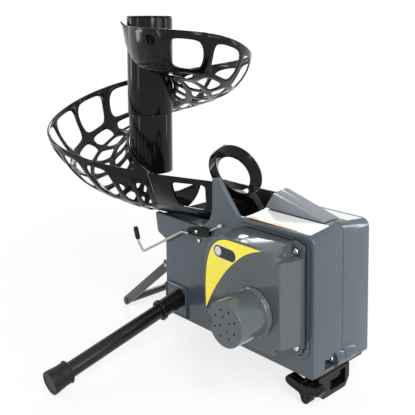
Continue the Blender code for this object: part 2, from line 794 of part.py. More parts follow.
def make_gearbox_cover():
    """A hollow box on the near face, with a notch for a screw at both right corners."""
    back = -HALF_WIDTH - GAP
    foot = cover_outline(COVER_FLARE)
    front = cover_outline(0)
    inner_foot = inset(foot, PLASTIC_WALL)
    cover = skin([
        placed(inset(front, EDGE_ROUND), COVER_FRONT_Y, "Y"),
        placed(front, COVER_FRONT_Y + EDGE_ROUND, "Y"),
        placed(foot, back, "Y"),
    ])
    cover = join(cover, across(*TOP_SCREW, back - NOTCH_FLOOR, back, TOP_LOBE, 24),
                 across(*LOW_SCREW, back - NOTCH_FLOOR, back, LOW_LOBE, 24))
    room = skin([
        placed(inset(front, PLASTIC_WALL), COVER_FRONT_Y + PLASTIC_WALL, "Y"),
        placed(inner_foot, back, "Y"),
        placed(inner_foot, back + 0.005, "Y"),
    ])
    notches = ((TOP_SCREW, NOTCH_REACH, 1), (LOW_SCREW, NOTCH_CEILING, -1))
    kept = [block(screw[0] - NOTCH_REACH - PLASTIC_WALL, 0, back - 0.01, back + 0.01,
                  *sorted((screw[1] - up * (reach + PLASTIC_WALL), screw[1] + up * 0.05)))
            for screw, reach, up in notches]
    room = cut(room, *[cover_notch(*notch, PLASTIC_WALL) for notch in notches], *kept)
    tools = [cover_notch(*notch, 0) for notch in notches]
    tools += [across(*screw, back - 0.01, back + 0.01, SCREW_SHANK + GAP, 10)
              for screw in (TOP_SCREW, LOW_SCREW)]
    tools.append(across(*MOTOR_AXIS, COVER_FRONT_Y - 0.01, COVER_FRONT_Y + 0.01, MOTOR_RADIUS + 0.0015, 24))
    finish(cut(cover, room, *tools), "gearbox_cover", "cover_grey")


def make_cover_screws():
    floor = -HALF_WIDTH - GAP - NOTCH_FLOOR
    for name, (x, z) in (("cover_screw_top", TOP_SCREW), ("cover_screw_low", LOW_SCREW)):
        profile = [(0, 0), (COVER_SCREW_HEAD * 0.8, 0), (COVER_SCREW_HEAD, 0.001),
                   (COVER_SCREW_HEAD, 0.003), (SCREW_SHANK, 0.003), (SCREW_SHANK, 0.011), (0, 0.011)]
        start = (x, floor - GAP - 0.003, z)
        finish(aim(turned(profile, 12), start, (x, 0, z)), name, "steel", start)


def make_motor_cap():
    """A round cap over the motor, closed by a disc with two circles of vent holes."""
    back = COVER_FRONT_Y - GAP
    room = CAP_RADIUS - CAP_WALL
    cap = turned([(0, CAP_LENGTH - CAP_WALL), (room, CAP_LENGTH - CAP_WALL), (room, 0),
                  (CAP_RADIUS + CAP_RING, 0), (CAP_RADIUS + CAP_RING, 0.003), (CAP_RADIUS, 0.006),
                  (CAP_RADIUS, CAP_LENGTH - 0.001), (CAP_RADIUS - 0.001, CAP_LENGTH), (0, CAP_LENGTH)], 32)
    tools = []
    facet = pi / 32
    for circle, count in ((VENT_OUTER_CIRCLE, 8), (VENT_INNER_CIRCLE, 4)):
        for k in range(count):
            angle = facet + 2 * pi * k / count
            u, v = circle * cos(angle), circle * sin(angle)
            tools.append(rod((u, v, CAP_LENGTH - 0.01), (u, v, CAP_LENGTH + 0.01), VENT_RADIUS, 6))
    cap = cut(cap, *tools)
    cap.data.transform(Matrix.Rotation(-facet, 4, "Z"))
    x, z = MOTOR_AXIS
    finish(aim(cap, (x, back, z), (x, back - 1, z)), "motor_cap", "cover_grey", (x, back, z))


def make_motor():
    x, z = MOTOR_AXIS
    front = FRAME_OUTER_Y - GAP
    rear = COVER_FRONT_Y - GAP - CAP_LENGTH + CAP_WALL + MOTOR_END_CLEARANCE
    length = front - rear
    profile = [(0, 0), (MOTOR_RADIUS * 0.4, 0), (MOTOR_RADIUS * 0.4, 0.002), (MOTOR_RADIUS - 0.002, 0.002),
               (MOTOR_RADIUS, 0.004), (MOTOR_RADIUS, length), (MOTOR_SHAFT_RADIUS + GAP, length),
               (MOTOR_SHAFT_RADIUS + GAP, length - 0.006), (0, length - 0.006)]
    finish(aim(turned(profile, 20), (x, rear, z), (x, 0, z)), "motor", "steel", (x, front, z))


def drive_axis():
    """Where the drive gear turns: in mesh with both the pinion and the arm's gear."""
    far = GEAR_MODULE * (SECTOR_TEETH + ARM_GEAR_TEETH) / 2
    near = GEAR_MODULE * (WHEEL_TEETH + PINION_TEETH) / 2
    dx = MOTOR_AXIS[0] - ARM_PIVOT[0]
    dz = MOTOR_AXIS[1] - ARM_PIVOT[1]
    apart = hypot(dx, dz)
    along = (far ** 2 - near ** 2 + apart ** 2) / (2 * apart)
    aside = sqrt(max(far ** 2 - along ** 2, 0))
    return (ARM_PIVOT[0] + (dx * along - dz * aside) / apart,
            ARM_PIVOT[1] + (dz * along + dx * aside) / apart)


def towards(start, end):
    return atan2(end[1] - start[1], end[0] - start[0])


def gear_outline(centre, teeth, first, kept=None):
    """Straight-sided teeth with backlash; teeth further than kept from the first are left off."""
    pitch = GEAR_MODULE * teeth / 2
    step = 2 * pi / teeth
    root = pitch - 1.2 * GEAR_MODULE
    tip = pitch + 0.85 * GEAR_MODULE
    points = []
    for i in range(teeth):
        away = min(i, teeth - i)
        middle = first + i * step
        if kept is not None and away > kept:
            corners = [(root, -0.33), (root, 0.33)]
        else:
            corners = [(root, -0.33), (tip, -0.10), (tip, 0.10), (root, 0.33)]
        for radius, share in corners:
            angle = middle + share * step
            points.append((centre[0] + radius * cos(angle), centre[1] + radius * sin(angle)))
    return points


def frame_inner_y():
    return FRAME_OUTER_Y + FRAME_PLATE


def wheel_span():
    start = frame_inner_y() + GEAR_CLEARANCE
    return start, start + WHEEL_FACE


def sector_span():
    start = wheel_span()[1] + GEAR_CLEARANCE * 2
    return start, start + GEAR_FACE


def make_gear_frame():
    """A steel plate on four posts that carries the motor, the drive axle and the arm shaft."""
    left, right = COVER_LEFT_X + 0.007, MOTOR_AXIS[0] + MOTOR_RADIUS + 0.003
    low, high = MOTOR_AXIS[1] - MOTOR_RADIUS - 0.0025, ARM_PIVOT[1] + 0.027
    outline = [(left, low), (right, low), (right, high - 0.026), (right - 0.012, high), (left + 0.014, high),
               (left, high - 0.018)]
    plate = prism(outline, FRAME_OUTER_Y, frame_inner_y())
    spots = [(left + 0.008, low + 0.008), (left + 0.010, high - 0.014), (right - 0.018, high - 0.008),
             (MOTOR_AXIS[0] - MOTOR_RADIUS - 0.017, low + 0.006)]
    back = -HALF_WIDTH - GAP
    plate = join(plate, *[across(x, z, FRAME_OUTER_Y + 0.0005, back, FRAME_POST, 10) for x, z in spots])
    tools = [
        across(*MOTOR_AXIS, -0.12, -0.08, MOTOR_SHAFT_RADIUS + 0.001, 10),
        across(*drive_axis(), -0.12, -0.08, AXLE_RADIUS + GAP, 12),
        across(*ARM_PIVOT, -0.12, -0.08, SHAFT_RADIUS + GAP, 16),
    ]
    finish(cut(plate, *tools), "gear_frame", "steel")


def make_pinion():
    """The motor's shaft with the pinion cut on its end."""
    x, z = MOTOR_AXIS
    start, end = wheel_span()
    axis = drive_axis()
    first = towards(MOTOR_AXIS, axis) + pi / PINION_TEETH
    pinion = prism(gear_outline(MOTOR_AXIS, PINION_TEETH, first), start, end)
    pinion = join(pinion, across(x, z, FRAME_OUTER_Y - 0.005, end + 0.002, MOTOR_SHAFT_RADIUS, 10))
    finish(pinion, "motor_pinion", "steel", (x, start, z))


def make_drive_gear():
    """A full wheel driven by the pinion, and beside it a sector that winds the arm back and lets it go."""
    centre = drive_axis()
    start, end = wheel_span()
    near, far = sector_span()
    wheel = prism(gear_outline(centre, WHEEL_TEETH, towards(centre, MOTOR_AXIS)), start, end)
    sector = prism(gear_outline(centre, SECTOR_TEETH, towards(centre, ARM_PIVOT), SECTOR_KEPT), near, far)
    hub = across(*centre, end - 0.001, near + 0.001, AXLE_RADIUS + 0.004, 12)
    gear = join(wheel, hub, sector)
    gear = cut(gear, across(*centre, start - 0.01, far + 0.01, AXLE_RADIUS + GAP, 12))
    finish(gear, "drive_gear", "gear_white", (centre[0], near, centre[1]))
    axle = across(*centre, FRAME_OUTER_Y - 0.001, -HALF_WIDTH - GAP, AXLE_RADIUS, 12)
    finish(axle, "drive_axle", "steel", (centre[0], near, centre[1]))


# Throwing arm


def on_arm(shape):
    """Leans a shape made upright at the pivot to the arm's resting angle."""
    shape.data.transform(Matrix.Translation((ARM_PIVOT[0], 0, ARM_PIVOT[1]))
                         @ Matrix.Rotation(radians(-ARM_REST), 4, "Y"))
    return shape


def make_throwing_arm():
    """A funnel ring that cups the ball, on a tapered stem with a hub."""
    profile = [
        (RING_HOLE, RING_BACK), (RING_HOLE + RING_WALL, RING_BACK),
        (RING_FRONT_RADIUS - RING_WALL, RING_FRONT - 1.7 * RING_WALL), (RING_RADIUS - RING_WALL, RING_BACK),
        (RING_RADIUS, RING_BACK), (RING_FRONT_RADIUS + 0.0005, RING_FRONT - 0.001),
        (RING_FRONT_RADIUS - 0.0005, RING_FRONT), (RING_FRONT_RADIUS - 0.0016, RING_FRONT),
        (RING_HOLE, RING_BACK + 0.0017),
    ]
    ring = aim(turned(profile, 28), (0, 0, ARM_LENGTH), (1, 0, ARM_LENGTH))
    top = ARM_LENGTH - (RING_HOLE + RING_RADIUS) / 2 - 0.001
    wide = STEM_WIDTH / 2
    thick = STEM_THICKNESS / 2
    stem = skin([
        [(-wide, -thick, 0), (wide, -thick, 0), (wide, thick, 0), (-wide, thick, 0)],
        [(-wide, -thick, top * 0.8), (wide, -thick, top * 0.8), (wide, thick, top * 0.8),
         (-wide, thick, top * 0.8)],
        [(RING_BACK, -2 * thick, top), (0.001, -2 * thick, top), (0.001, 2 * thick, top),
         (RING_BACK, 2 * thick, top)],
    ])
    hub = rod((0, -HUB_HALF, 0), (0, HUB_HALF, 0), HUB_RADIUS, 16)
    peg = rod((0, 0, peg_height()), (0, spring_near_y() + 0.003, peg_height()), PEG_RADIUS, 8)
    arm = join(ring, stem, hub, peg)
    arm = cut(arm, rod((0, -0.1, 0), (0, 0.1, 0), SHAFT_RADIUS + GAP, 16))
    finish(on_arm(arm), "throwing_arm", "satin_black", (ARM_PIVOT[0], 0, ARM_PIVOT[1]))


def make_arm_shaft():
    far = HALF_WIDTH - PLASTIC_WALL - GAP
    shaft = across(*ARM_PIVOT, FRAME_OUTER_Y - 0.0015, far, SHAFT_RADIUS, 16)
    finish(shaft, "arm_shaft", "steel", (ARM_PIVOT[0], 0, ARM_PIVOT[1]))
    near, far = sector_span()
    first = towards(ARM_PIVOT, drive_axis()) + pi / ARM_GEAR_TEETH
    gear = prism(gear_outline(ARM_PIVOT, ARM_GEAR_TEETH, first), near, far)
    gear = cut(gear, across(*ARM_PIVOT, near - 0.01, far + 0.01, SHAFT_RADIUS + GAP, 16))
    finish(gear, "arm_gear", "gear_white", (ARM_PIVOT[0], near, ARM_PIVOT[1]))


def make_bushes():
    face = -HALF_WIDTH - GAP
    profile = [(SHAFT_RADIUS + GAP, -0.002), (BUSH_FLANGE, -0.002), (BUSH_FLANGE, 0), (BUSH_RADIUS, 0),
               (BUSH_RADIUS, 0.0055), (SHAFT_RADIUS + GAP, 0.0055)]
    bush = aim(turned(profile, 16), (ARM_PIVOT[0], face, ARM_PIVOT[1]), (ARM_PIVOT[0], 0, ARM_PIVOT[1]))
    finish(bush, "near_bush", "gear_white", (ARM_PIVOT[0], face, ARM_PIVOT[1]))
    face = HALF_WIDTH + GAP
    depth = 0.011
    profile = [(0, -0.002), (BUSH_FLANGE, -0.002), (BUSH_FLANGE, 0), (BUSH_RADIUS, 0), (BUSH_RADIUS, depth),
               (SHAFT_RADIUS + GAP, depth), (SHAFT_RADIUS + GAP, PLASTIC_WALL), (0, PLASTIC_WALL)]
    bush = aim(turned(profile, 16), (ARM_PIVOT[0], face, ARM_PIVOT[1]), (ARM_PIVOT[0], 0, ARM_PIVOT[1]))
    finish(bush, "far_bush", "satin_black", (ARM_PIVOT[0], face, ARM_PIVOT[1]))


def spring_near_y():
    return HUB_HALF + 0.003


def spring_far_y():
    return spring_near_y() + SPRING_TURNS * SPRING_PITCH


def peg_height():
    return SPRING_COIL + SPRING_LEG * 0.75


def spring_post():
    """The housing's post that the spring's far leg bears on once the arm is fully drawn back."""
    reach = SPRING_COIL + SPRING_LEG * 0.75
    aside = POST_RADIUS + SPRING_WIRE + 2 * GAP
    angle = radians(ARM_SWING - 90)
    return (ARM_PIVOT[0] + cos(angle) * reach - sin(angle) * aside,
            ARM_PIVOT[1] + sin(angle) * reach + cos(angle) * aside)


def make_arm_spring():
    """A torsion spring round the shaft, drawn relaxed: one leg is behind the arm's peg, the other hangs."""
    lean = radians(90 + ARM_REST)
    clear = PEG_RADIUS + SPRING_WIRE + GAP
    turn_start = lean + asin(clear / SPRING_COIL)
    x, z = ARM_PIVOT
    total = SPRING_TURNS * SPRING_STEPS
    sweep_angle = 2 * pi * (SPRING_TURNS - 1) + ((-pi / 2 - turn_start) % (2 * pi))
    along = Vector((cos(lean), 0, sin(lean)))
    behind = Vector((-sin(lean), 0, cos(lean)))
    points = [Vector((x, spring_near_y(), z)) + along * (SPRING_COIL + SPRING_LEG) + behind * clear]
    for i in range(total + 1):
        share = i / total
        angle = turn_start + sweep_angle * share
        y = spring_near_y() + (spring_far_y() - spring_near_y()) * share
        points.append(Vector((x + SPRING_COIL * cos(angle), y, z + SPRING_COIL * sin(angle))))
    points.append(Vector((x, spring_far_y(), z - SPRING_COIL - SPRING_LEG)))
    least = min((a - b).length for i, a in enumerate(points) for b in points[i + 3:]) - 2 * SPRING_WIRE
    print(f"least gap between the spring's turns: {least * 1000:.2f} mm")
    finish(sweep(points, SPRING_WIRE, 5), "arm_spring", "steel", (x, 0, z))


# Ball lever


def lever_outline():
    """The outline round three circles: heel, hub and tip."""
    circles = [(*LEVER_HEEL, LEVER_HEEL_RADIUS), (*LEVER_PIVOT, LEVER_HUB_RADIUS), (*LEVER_TIP, LEVER_TIP_RADIUS)]
    points = []
    (x0, z0, r0), (x1, z1, r1), (x2, z2, r2) = circles
    first = atan2(z1 - z0, x1 - x0)
    second = atan2(z2 - z1, x2 - x1)
    for k in range(7):
        angle = first + pi / 2 + pi * k / 6
        points.append((x0 + r0 * cos(angle), z0 + r0 * sin(angle)))
    for angle in (first - pi / 2, (first + second) / 2 - pi / 2, second - pi / 2):
        points.append((x1 + r1 * cos(angle), z1 + r1 * sin(angle)))
    for k in range(7):
        angle = second - pi / 2 + pi * k / 6
        points.append((x2 + r2 * cos(angle), z2 + r2 * sin(angle)))
    for angle in (second + pi / 2, (first + second) / 2 + pi / 2, first + pi / 2):
        points.append((x1 + r1 * cos(angle), z1 + r1 * sin(angle)))
    return points


def headed(name, spot, seat_y, head, shank, depth, finish_name):
    """A round-headed screw or rivet along Y, its head in front of the seat."""
    x, z = spot
    start = (x, seat_y - GAP - SCREW_HEAD_HEIGHT, z)
    profile = [(0, 0), (head * 0.75, 0), (head, 0.0012), (head, SCREW_HEAD_HEIGHT),
               (shank, SCREW_HEAD_HEIGHT), (shank, SCREW_HEAD_HEIGHT + depth), (0, SCREW_HEAD_HEIGHT + depth)]
    finish(aim(turned(profile, 10), start, (x, 0, z)), name, finish_name, start)


def make_lever():
    back = -HALF_WIDTH - GAP
    front = back - LEVER_THICKNESS
    origin = (LEVER_PIVOT[0], back, LEVER_PIVOT[1])
    plate = prism(lever_outline(), front, back)
    plate = cut(plate, across(*LEVER_PIVOT, front - 0.01, back + 0.01, RIVET_SHANK + GAP, 12),
                across(*LEVER_TIP, front - 0.01, back + 0.01, SCREW_SHANK + GAP, 10))
    finish(plate, "lever_plate", "satin_black", origin)
    wire_y = front - GAP - WIRE_RADIUS
    path = rounded([(x, z, bend) for (x, z), bend in zip(WIRE_PATH, WIRE_BENDS)], 3)
    wire = sweep([(x, wire_y, z) for x, z in path], WIRE_RADIUS, 8)
    finish(wire, "lever_wire", "steel", origin)
    start = Vector((WIRE_PATH[-1][0], wire_y, WIRE_PATH[-1][1]))
    end = Vector((GRIP_END[0], wire_y, GRIP_END[1]))
    length = (end - start).length
    start += (end - start).normalized() * GAP
    profile = [(0, 0), (GRIP_RADIUS * 0.7, 0), (GRIP_RADIUS, 0.003), (GRIP_RADIUS, length - 0.003),
               (GRIP_RADIUS * 0.7, length), (0, length)]
    finish(aim(turned(profile, 10), start, end), "lever_grip", "rubber", origin)
    headed("lever_rivet", LEVER_PIVOT, front, RIVET_HEAD, RIVET_SHANK, LEVER_THICKNESS + 0.003, "steel")
    headed("lever_tip_screw", LEVER_TIP, front, SCREW_HEAD, SCREW_SHANK, LEVER_THICKNESS, "steel")
    headed("stop_screw", STOP_SCREW, -HALF_WIDTH, SCREW_HEAD * 0.9, SCREW_SHANK, 0.003, "steel")


# Legs


def leg_end():
    """How far the leg's foot reaches, with the lower edge of its end on the floor."""
    low = FOOT_CAP_RADIUS * cos(radians(LEG_SLOPE))
    return (LEG_START_Z - low) / sin(radians(LEG_SLOPE))


def leg_piece(profile, side, along, sides):
    """A turned piece on the leg's axis; heights in the profile run outwards."""
    return aim(turned(profile, sides), leg_point(side, along), leg_point(side, along + 1))


def make_leg(side, name):
    end = leg_end()
    lip = SOCKET_RADIUS + SOCKET_LIP
    bore = LEG_RADIUS + GAP
    socket = [(bore, -0.036), (SOCKET_RADIUS, -0.036), (SOCKET_RADIUS, SOCKET_LENGTH - 0.006),
              (lip, SOCKET_LENGTH - 0.005), (lip, SOCKET_LENGTH - 0.001), (lip - 0.001, SOCKET_LENGTH),
              (bore, SOCKET_LENGTH)]
    finish(leg_piece(socket, side, 0, 20), f"{name}_leg_socket", "satin_black", tuple(leg_point(side, 0)))
    tube_end = end - 0.004
    tube = [(LEG_RADIUS - LEG_WALL, -LEG_INSERT), (LEG_RADIUS, -LEG_INSERT), (LEG_RADIUS, tube_end),
            (LEG_RADIUS - LEG_WALL, tube_end)]
    finish(leg_piece(tube, side, 0, 16), f"{name}_leg_tube", "satin_black", tuple(leg_point(side, 0)))
    start = end - FOOT_CAP_LENGTH
    mouth = LEG_RADIUS + GAP
    foot = [(0, tube_end + GAP), (mouth, tube_end + GAP), (mouth, start), (LEG_RADIUS + 0.004, start),
            (LEG_RADIUS + 0.0055, start + 0.002), (LEG_RADIUS + 0.004, start + 0.004),
            (FOOT_CAP_RADIUS - 0.0015, start + 0.012), (FOOT_CAP_RADIUS, end - 0.004),
            (FOOT_CAP_RADIUS, end), (0, end)]
    finish(leg_piece(foot, side, 0, 18), f"{name}_leg_foot", "rubber", tuple(leg_point(side, 0)))


# Stand


def stand_foot():
    return (STAND_FOOT_X, STRAP_WIDTH / 2)


def slot_outline(first, second, radius, steps=6):
    """An outline with round ends round two points."""
    angle = atan2(second[1] - first[1], second[0] - first[0])
    points = []
    for (x, z), start in ((second, angle - pi / 2), (first, angle + pi / 2)):
        for k in range(steps + 1):
            turn = start + pi * k / steps
            points.append((x + radius * cos(turn), z + radius * sin(turn)))
    return points


def make_stand():
    origin = (STAND_PIVOT[0], 0, STAND_PIVOT[1])
    outer_y = STRAP_INNER_Y + STRAP_THICKNESS
    for side, name in ((NEAR, "near"), (FAR, "far")):
        low, high = sorted((side * STRAP_INNER_Y, side * outer_y))
        strap = prism(slot_outline(STAND_PIVOT, stand_foot(), STRAP_WIDTH / 2), low, high)
        strap = cut(strap, across(*STAND_PIVOT, low - 0.01, high + 0.01, STAND_ROD_RADIUS + GAP, 12),
                    across(*stand_foot(), low - 0.01, high + 0.01, RIVET_SHANK + GAP, 12))
        finish(strap, f"stand_strap_{name}", "strap_steel", origin)
    end = STRAP_INNER_Y - GAP
    head = outer_y + GAP
    x, z = stand_foot()
    profile = [(0, -head - 0.002), (RIVET_HEAD * 0.7, -head - 0.002), (RIVET_HEAD, -head - 0.001),
               (RIVET_HEAD, -head), (RIVET_SHANK, -head), (RIVET_SHANK, -end), (STAND_TUBE_RADIUS, -end)]
    profile += [(radius, -height) for radius, height in reversed(profile)]
    finish(aim(turned(profile, 12), (x, 0, z), (x, 1, z)), "stand_cross_bar", "strap_steel", origin)
    ear_y = outer_y + 0.001
    back = LEFT_END_X - GAP
    plate_x = back - STAND_BRACKET_THICKNESS
    wide = ear_y + STAND_BRACKET_THICKNESS
    x, z = STAND_PIVOT
    bracket = block(plate_x, back, -wide, wide, z - 0.011, z + 0.011)
    ears = [block(x - 0.006, back - 0.0005, *sorted((side * ear_y, side * wide)), z - 0.0075, z + 0.0075)
            for side in (NEAR, FAR)]
    bracket = join(bracket, *ears)
    bracket = cut(bracket, across(x, z, -wide - 0.01, wide + 0.01, STAND_ROD_RADIUS + GAP, 12))
    finish(bracket, "stand_bracket", "strap_steel", origin)
    finish(across(x, z, -wide - 0.002, wide + 0.002, STAND_ROD_RADIUS, 12), "stand_rod", "steel", origin)


# Base plate, foot and knob


def make_base_plate():
    top = BASE_Z - GAP
    outline = rounded([(PLATE_LEFT_X, PLATE_NEAR_Y, 0.006), (PLATE_RIGHT_X, PLATE_NEAR_Y, 0.006),
                       (PLATE_RIGHT_X, PLATE_FAR_Y, 0.006), (PLATE_LEFT_X, PLATE_FAR_Y, 0.006)], 2)
    plate = prism(outline, top - PLATE_THICKNESS, top, "Z")
    x, z = FOOT_PIVOT
    lug = prism([(x + LUG_RADIUS * cos(a), z + LUG_RADIUS * sin(a))
                 for a in (pi + pi * k / 8 for k in range(9))]
                + [(x + LUG_RADIUS, top - 0.001), (x - LUG_RADIUS, top - 0.001)], LUG_NEAR_Y, LUG_FAR_Y)
    plate = join(plate, lug)
    plate = cut(plate, across(x, z, LUG_NEAR_Y - 0.01, LUG_FAR_Y + 0.01, BOLT_RADIUS + GAP, 12))
    finish(plate, "base_plate", "satin_black")


def foot_outline(shrink, sole):
    """The foot's section seen from the end, tapered towards the floor."""
    near, far = FOOT_NEAR_Y + shrink, FOOT_FAR_Y - shrink
    top = BASE_Z - PLATE_THICKNESS - 2 * GAP
    return rounded([(near, top, 0), (near, 0.012, 0.002), (near + FOOT_TAPER, sole, 0.003),
                    (far - FOOT_TAPER, sole, 0.003), (far, 0.012, 0.002), (far, top, 0)], 2)


def make_foot():
    """A hollow foot, open at the top and back, that tilts about the knob's bolt."""
    x, z = FOOT_PIVOT
    top = BASE_Z - PLATE_THICKNESS - 2 * GAP
    back_x = x - FOOT_BACK_RADIUS
    body = prism(foot_outline(0, 0), back_x, FOOT_FRONT_X, "X")
    arc = [(x + FOOT_BACK_RADIUS * cos(a), z + FOOT_BACK_RADIUS * sin(a))
           for a in (pi / 2 + pi / 2 * k / 6 for k in range(7))]
    side = [(FOOT_FRONT_X, 0), (FOOT_FRONT_X, top), (x, top)]
    side += [(u, min(v, top)) for u, v in arc] + [(back_x, 0)]
    side = [p for i, p in enumerate(side) if i == 0 or hypot(p[0] - side[i - 1][0], p[1] - side[i - 1][1]) > 1e-6]
    body = common(body, prism(side, -0.1, 0.1))
    hollow = prism(foot_outline(FOOT_WALL, FOOT_SOLE), back_x - 0.02, FOOT_FRONT_X - FOOT_WALL, "X")
    lid = block(back_x - 0.02, FOOT_FRONT_X - FOOT_WALL, FOOT_NEAR_Y + FOOT_WALL, FOOT_FAR_Y - FOOT_WALL,
                top - 0.002, top + 0.02)
    window = block(FOOT_FRONT_X - 0.02, FOOT_FRONT_X + 0.02, *FOOT_WINDOW, FOOT_SOLE + 0.0015, top - 0.0035)
    bolt_room = (x, z, FOOT_NEAR_Y - 0.02, FOOT_FAR_Y + 0.02, BOLT_RADIUS + GAP, 12)
    body = cut(body, join(hollow, lid), window, across(*bolt_room))
    finish(body, "tilting_foot", "satin_black", (x, 0, z))
    nut_start = FOOT_FAR_Y + GAP
    nut = cut(across(x, z, nut_start, nut_start + NUT_HEIGHT, NUT_RADIUS, 6), across(*bolt_room))
    finish(nut, "bolt_nut", "steel", (x, 0, z))


def knob_reach(angle):
    """Distance from the knob's axis to its edge: round-ended lobes round a hub."""
    reach = KNOB_HUB
    for direction, length in KNOB_LOBES:
        aside = abs((angle - radians(direction) + pi) % (2 * pi) - pi)
        out = length - KNOB_LOBE
        if aside < atan2(KNOB_LOBE, out):
            reach = max(reach, out * cos(aside) + sqrt(KNOB_LOBE ** 2 - (out * sin(aside)) ** 2))
        elif aside < pi / 2:
            reach = max(reach, KNOB_LOBE / sin(aside))
    return reach


def make_knob():
    """A three-lobed knob with its bolt through the foot and the base plate's lug."""
    x, z = FOOT_PIVOT
    back = FOOT_NEAR_Y - GAP
    front = back - KNOB_DEPTH
    outline = [(x + reach * cos(angle), z + reach * sin(angle))
               for angle, reach in ((a, knob_reach(a)) for a in (2 * pi * k / 42 for k in range(42)))]
    knob = skin([placed(inset(outline, 0.001), front, "Y"), placed(outline, front + 0.0015, "Y"),
                 placed(outline, back - 0.003, "Y")])
    knob = join(knob, across(x, z, front + 0.004, back, KNOB_HUB - 0.001, 16))
    knob = cut(knob, across(x, z, front + 0.006, back + 0.01, BOLT_RADIUS + GAP, 12))
    finish(knob, "star_knob", "satin_black", (x, 0, z))
    bolt_end = FOOT_FAR_Y + GAP + NUT_HEIGHT + 0.003
    finish(across(x, z, front + 0.0065, bolt_end, BOLT_RADIUS, 12), "knob_bolt", "steel", (x, 0, z))


# Column and ramp


def make_column():
    spigot_radius = UPPER_TUBE_RADIUS - TUBE_WALL - GAP
    bore = LOWER_TUBE_RADIUS - 2 * TUBE_WALL
    seam = COLUMN_SEAM_Z
    lower = [(bore, COLUMN_BOTTOM_Z), (LOWER_TUBE_RADIUS, COLUMN_BOTTOM_Z), (LOWER_TUBE_RADIUS, seam),
             (spigot_radius, seam), (spigot_radius, seam + SPIGOT), (bore, seam + SPIGOT)]
    upper_bore = UPPER_TUBE_RADIUS - TUBE_WALL
    top = COLUMN_TOP_Z - CAP_FLANGE - GAP
    upper = [(upper_bore, seam + GAP), (UPPER_TUBE_RADIUS, seam + GAP), (UPPER_TUBE_RADIUS, top),
             (upper_bore, top)]
    cap = [(0, COLUMN_TOP_Z - CAP_FLANGE - CAP_PLUG), (spigot_radius, COLUMN_TOP_Z - CAP_FLANGE - CAP_PLUG),
           (spigot_radius, COLUMN_TOP_Z - CAP_FLANGE), (UPPER_TUBE_RADIUS, COLUMN_TOP_Z - CAP_FLANGE),
           (UPPER_TUBE_RADIUS, COLUMN_TOP_Z - 0.001), (UPPER_TUBE_RADIUS - 0.001, COLUMN_TOP_Z),
           (0, COLUMN_TOP_Z)]
    for name, profile in (("column_lower", lower), ("column_upper", upper), ("column_cap", cap)):
        shape = turned(profile, 32)
        shape.data.transform(Matrix.Translation((COLUMN_X, 0, 0)))
        finish(shape, name, "gloss_black", (COLUMN_X, 0, 0))


def section(rim_radius, rim_z, seat_radius, seat_z, floor_z, fullness, v):
    """A point (radius, height) on a trough's outer skin: v is 0 at the rim, 1 at the bottom, 2 at the seat."""
    floor_radius = seat_radius + (rim_radius - seat_radius) * 0.45
    turn = radians(90 * (v if v <= 1 else v - 1))
    if v <= 1:
        return (floor_radius + (rim_radius - floor_radius) * max(cos(turn), 0) ** (2 / fullness),
                rim_z - (rim_z - floor_z) * sin(turn) ** (2 / fullness))
    return (floor_radius - (floor_radius - seat_radius) * sin(turn) ** (2 / 1.8),
            floor_z + (seat_z - floor_z) * (1 - max(cos(turn), 0) ** (2 / 1.8)))


def ramp_surface(seat_radius):
    """The ramp's outer skin as a function of the angle round the column and of v."""

    def point(angle, v):
        lean = RAMP_LEAN * min(v / ROWS[1], 1)
        turn = angle + lean
        rim_radius = RAMP_START_RADIUS + (RAMP_RADIUS - RAMP_START_RADIUS) * monotone(SPREAD, turn)
        rim_z = RAMP_TOP_Z - (RAMP_TOP_Z - RAMP_EXIT_Z) * monotone(DROP, turn)
        floor_z = rim_z - RAMP_DEPTH * monotone(DEPTH, turn)
        seat_z = max(rim_z - monotone(SEAT_DROP, turn), floor_z + 0.001)
        radius, z = section(rim_radius, rim_z, seat_radius, seat_z, floor_z, monotone(FULLNESS, turn), v)
        return Vector((COLUMN_X + radius * cos(radians(turn)), radius * sin(radians(turn)), z))

    return point


def normal_at(surface, a, v, a_step=0.5, v_step=0.01):
    """The skin's normal, pointing into the trough."""
    v0, v1 = max(v - v_step, 0), min(v + v_step, 2)
    along = surface(a + a_step, v) - surface(a - a_step, v)
    down = surface(a, v1) - surface(a, v0)
    return along.cross(down).normalized()


def rounded_share(s, t, power=4.0):
    """Moves a point on a square's edge to a rounded square's edge."""
    reach = (abs(s) ** power + abs(t) ** power) ** (1 / power)
    return s / reach, t / reach


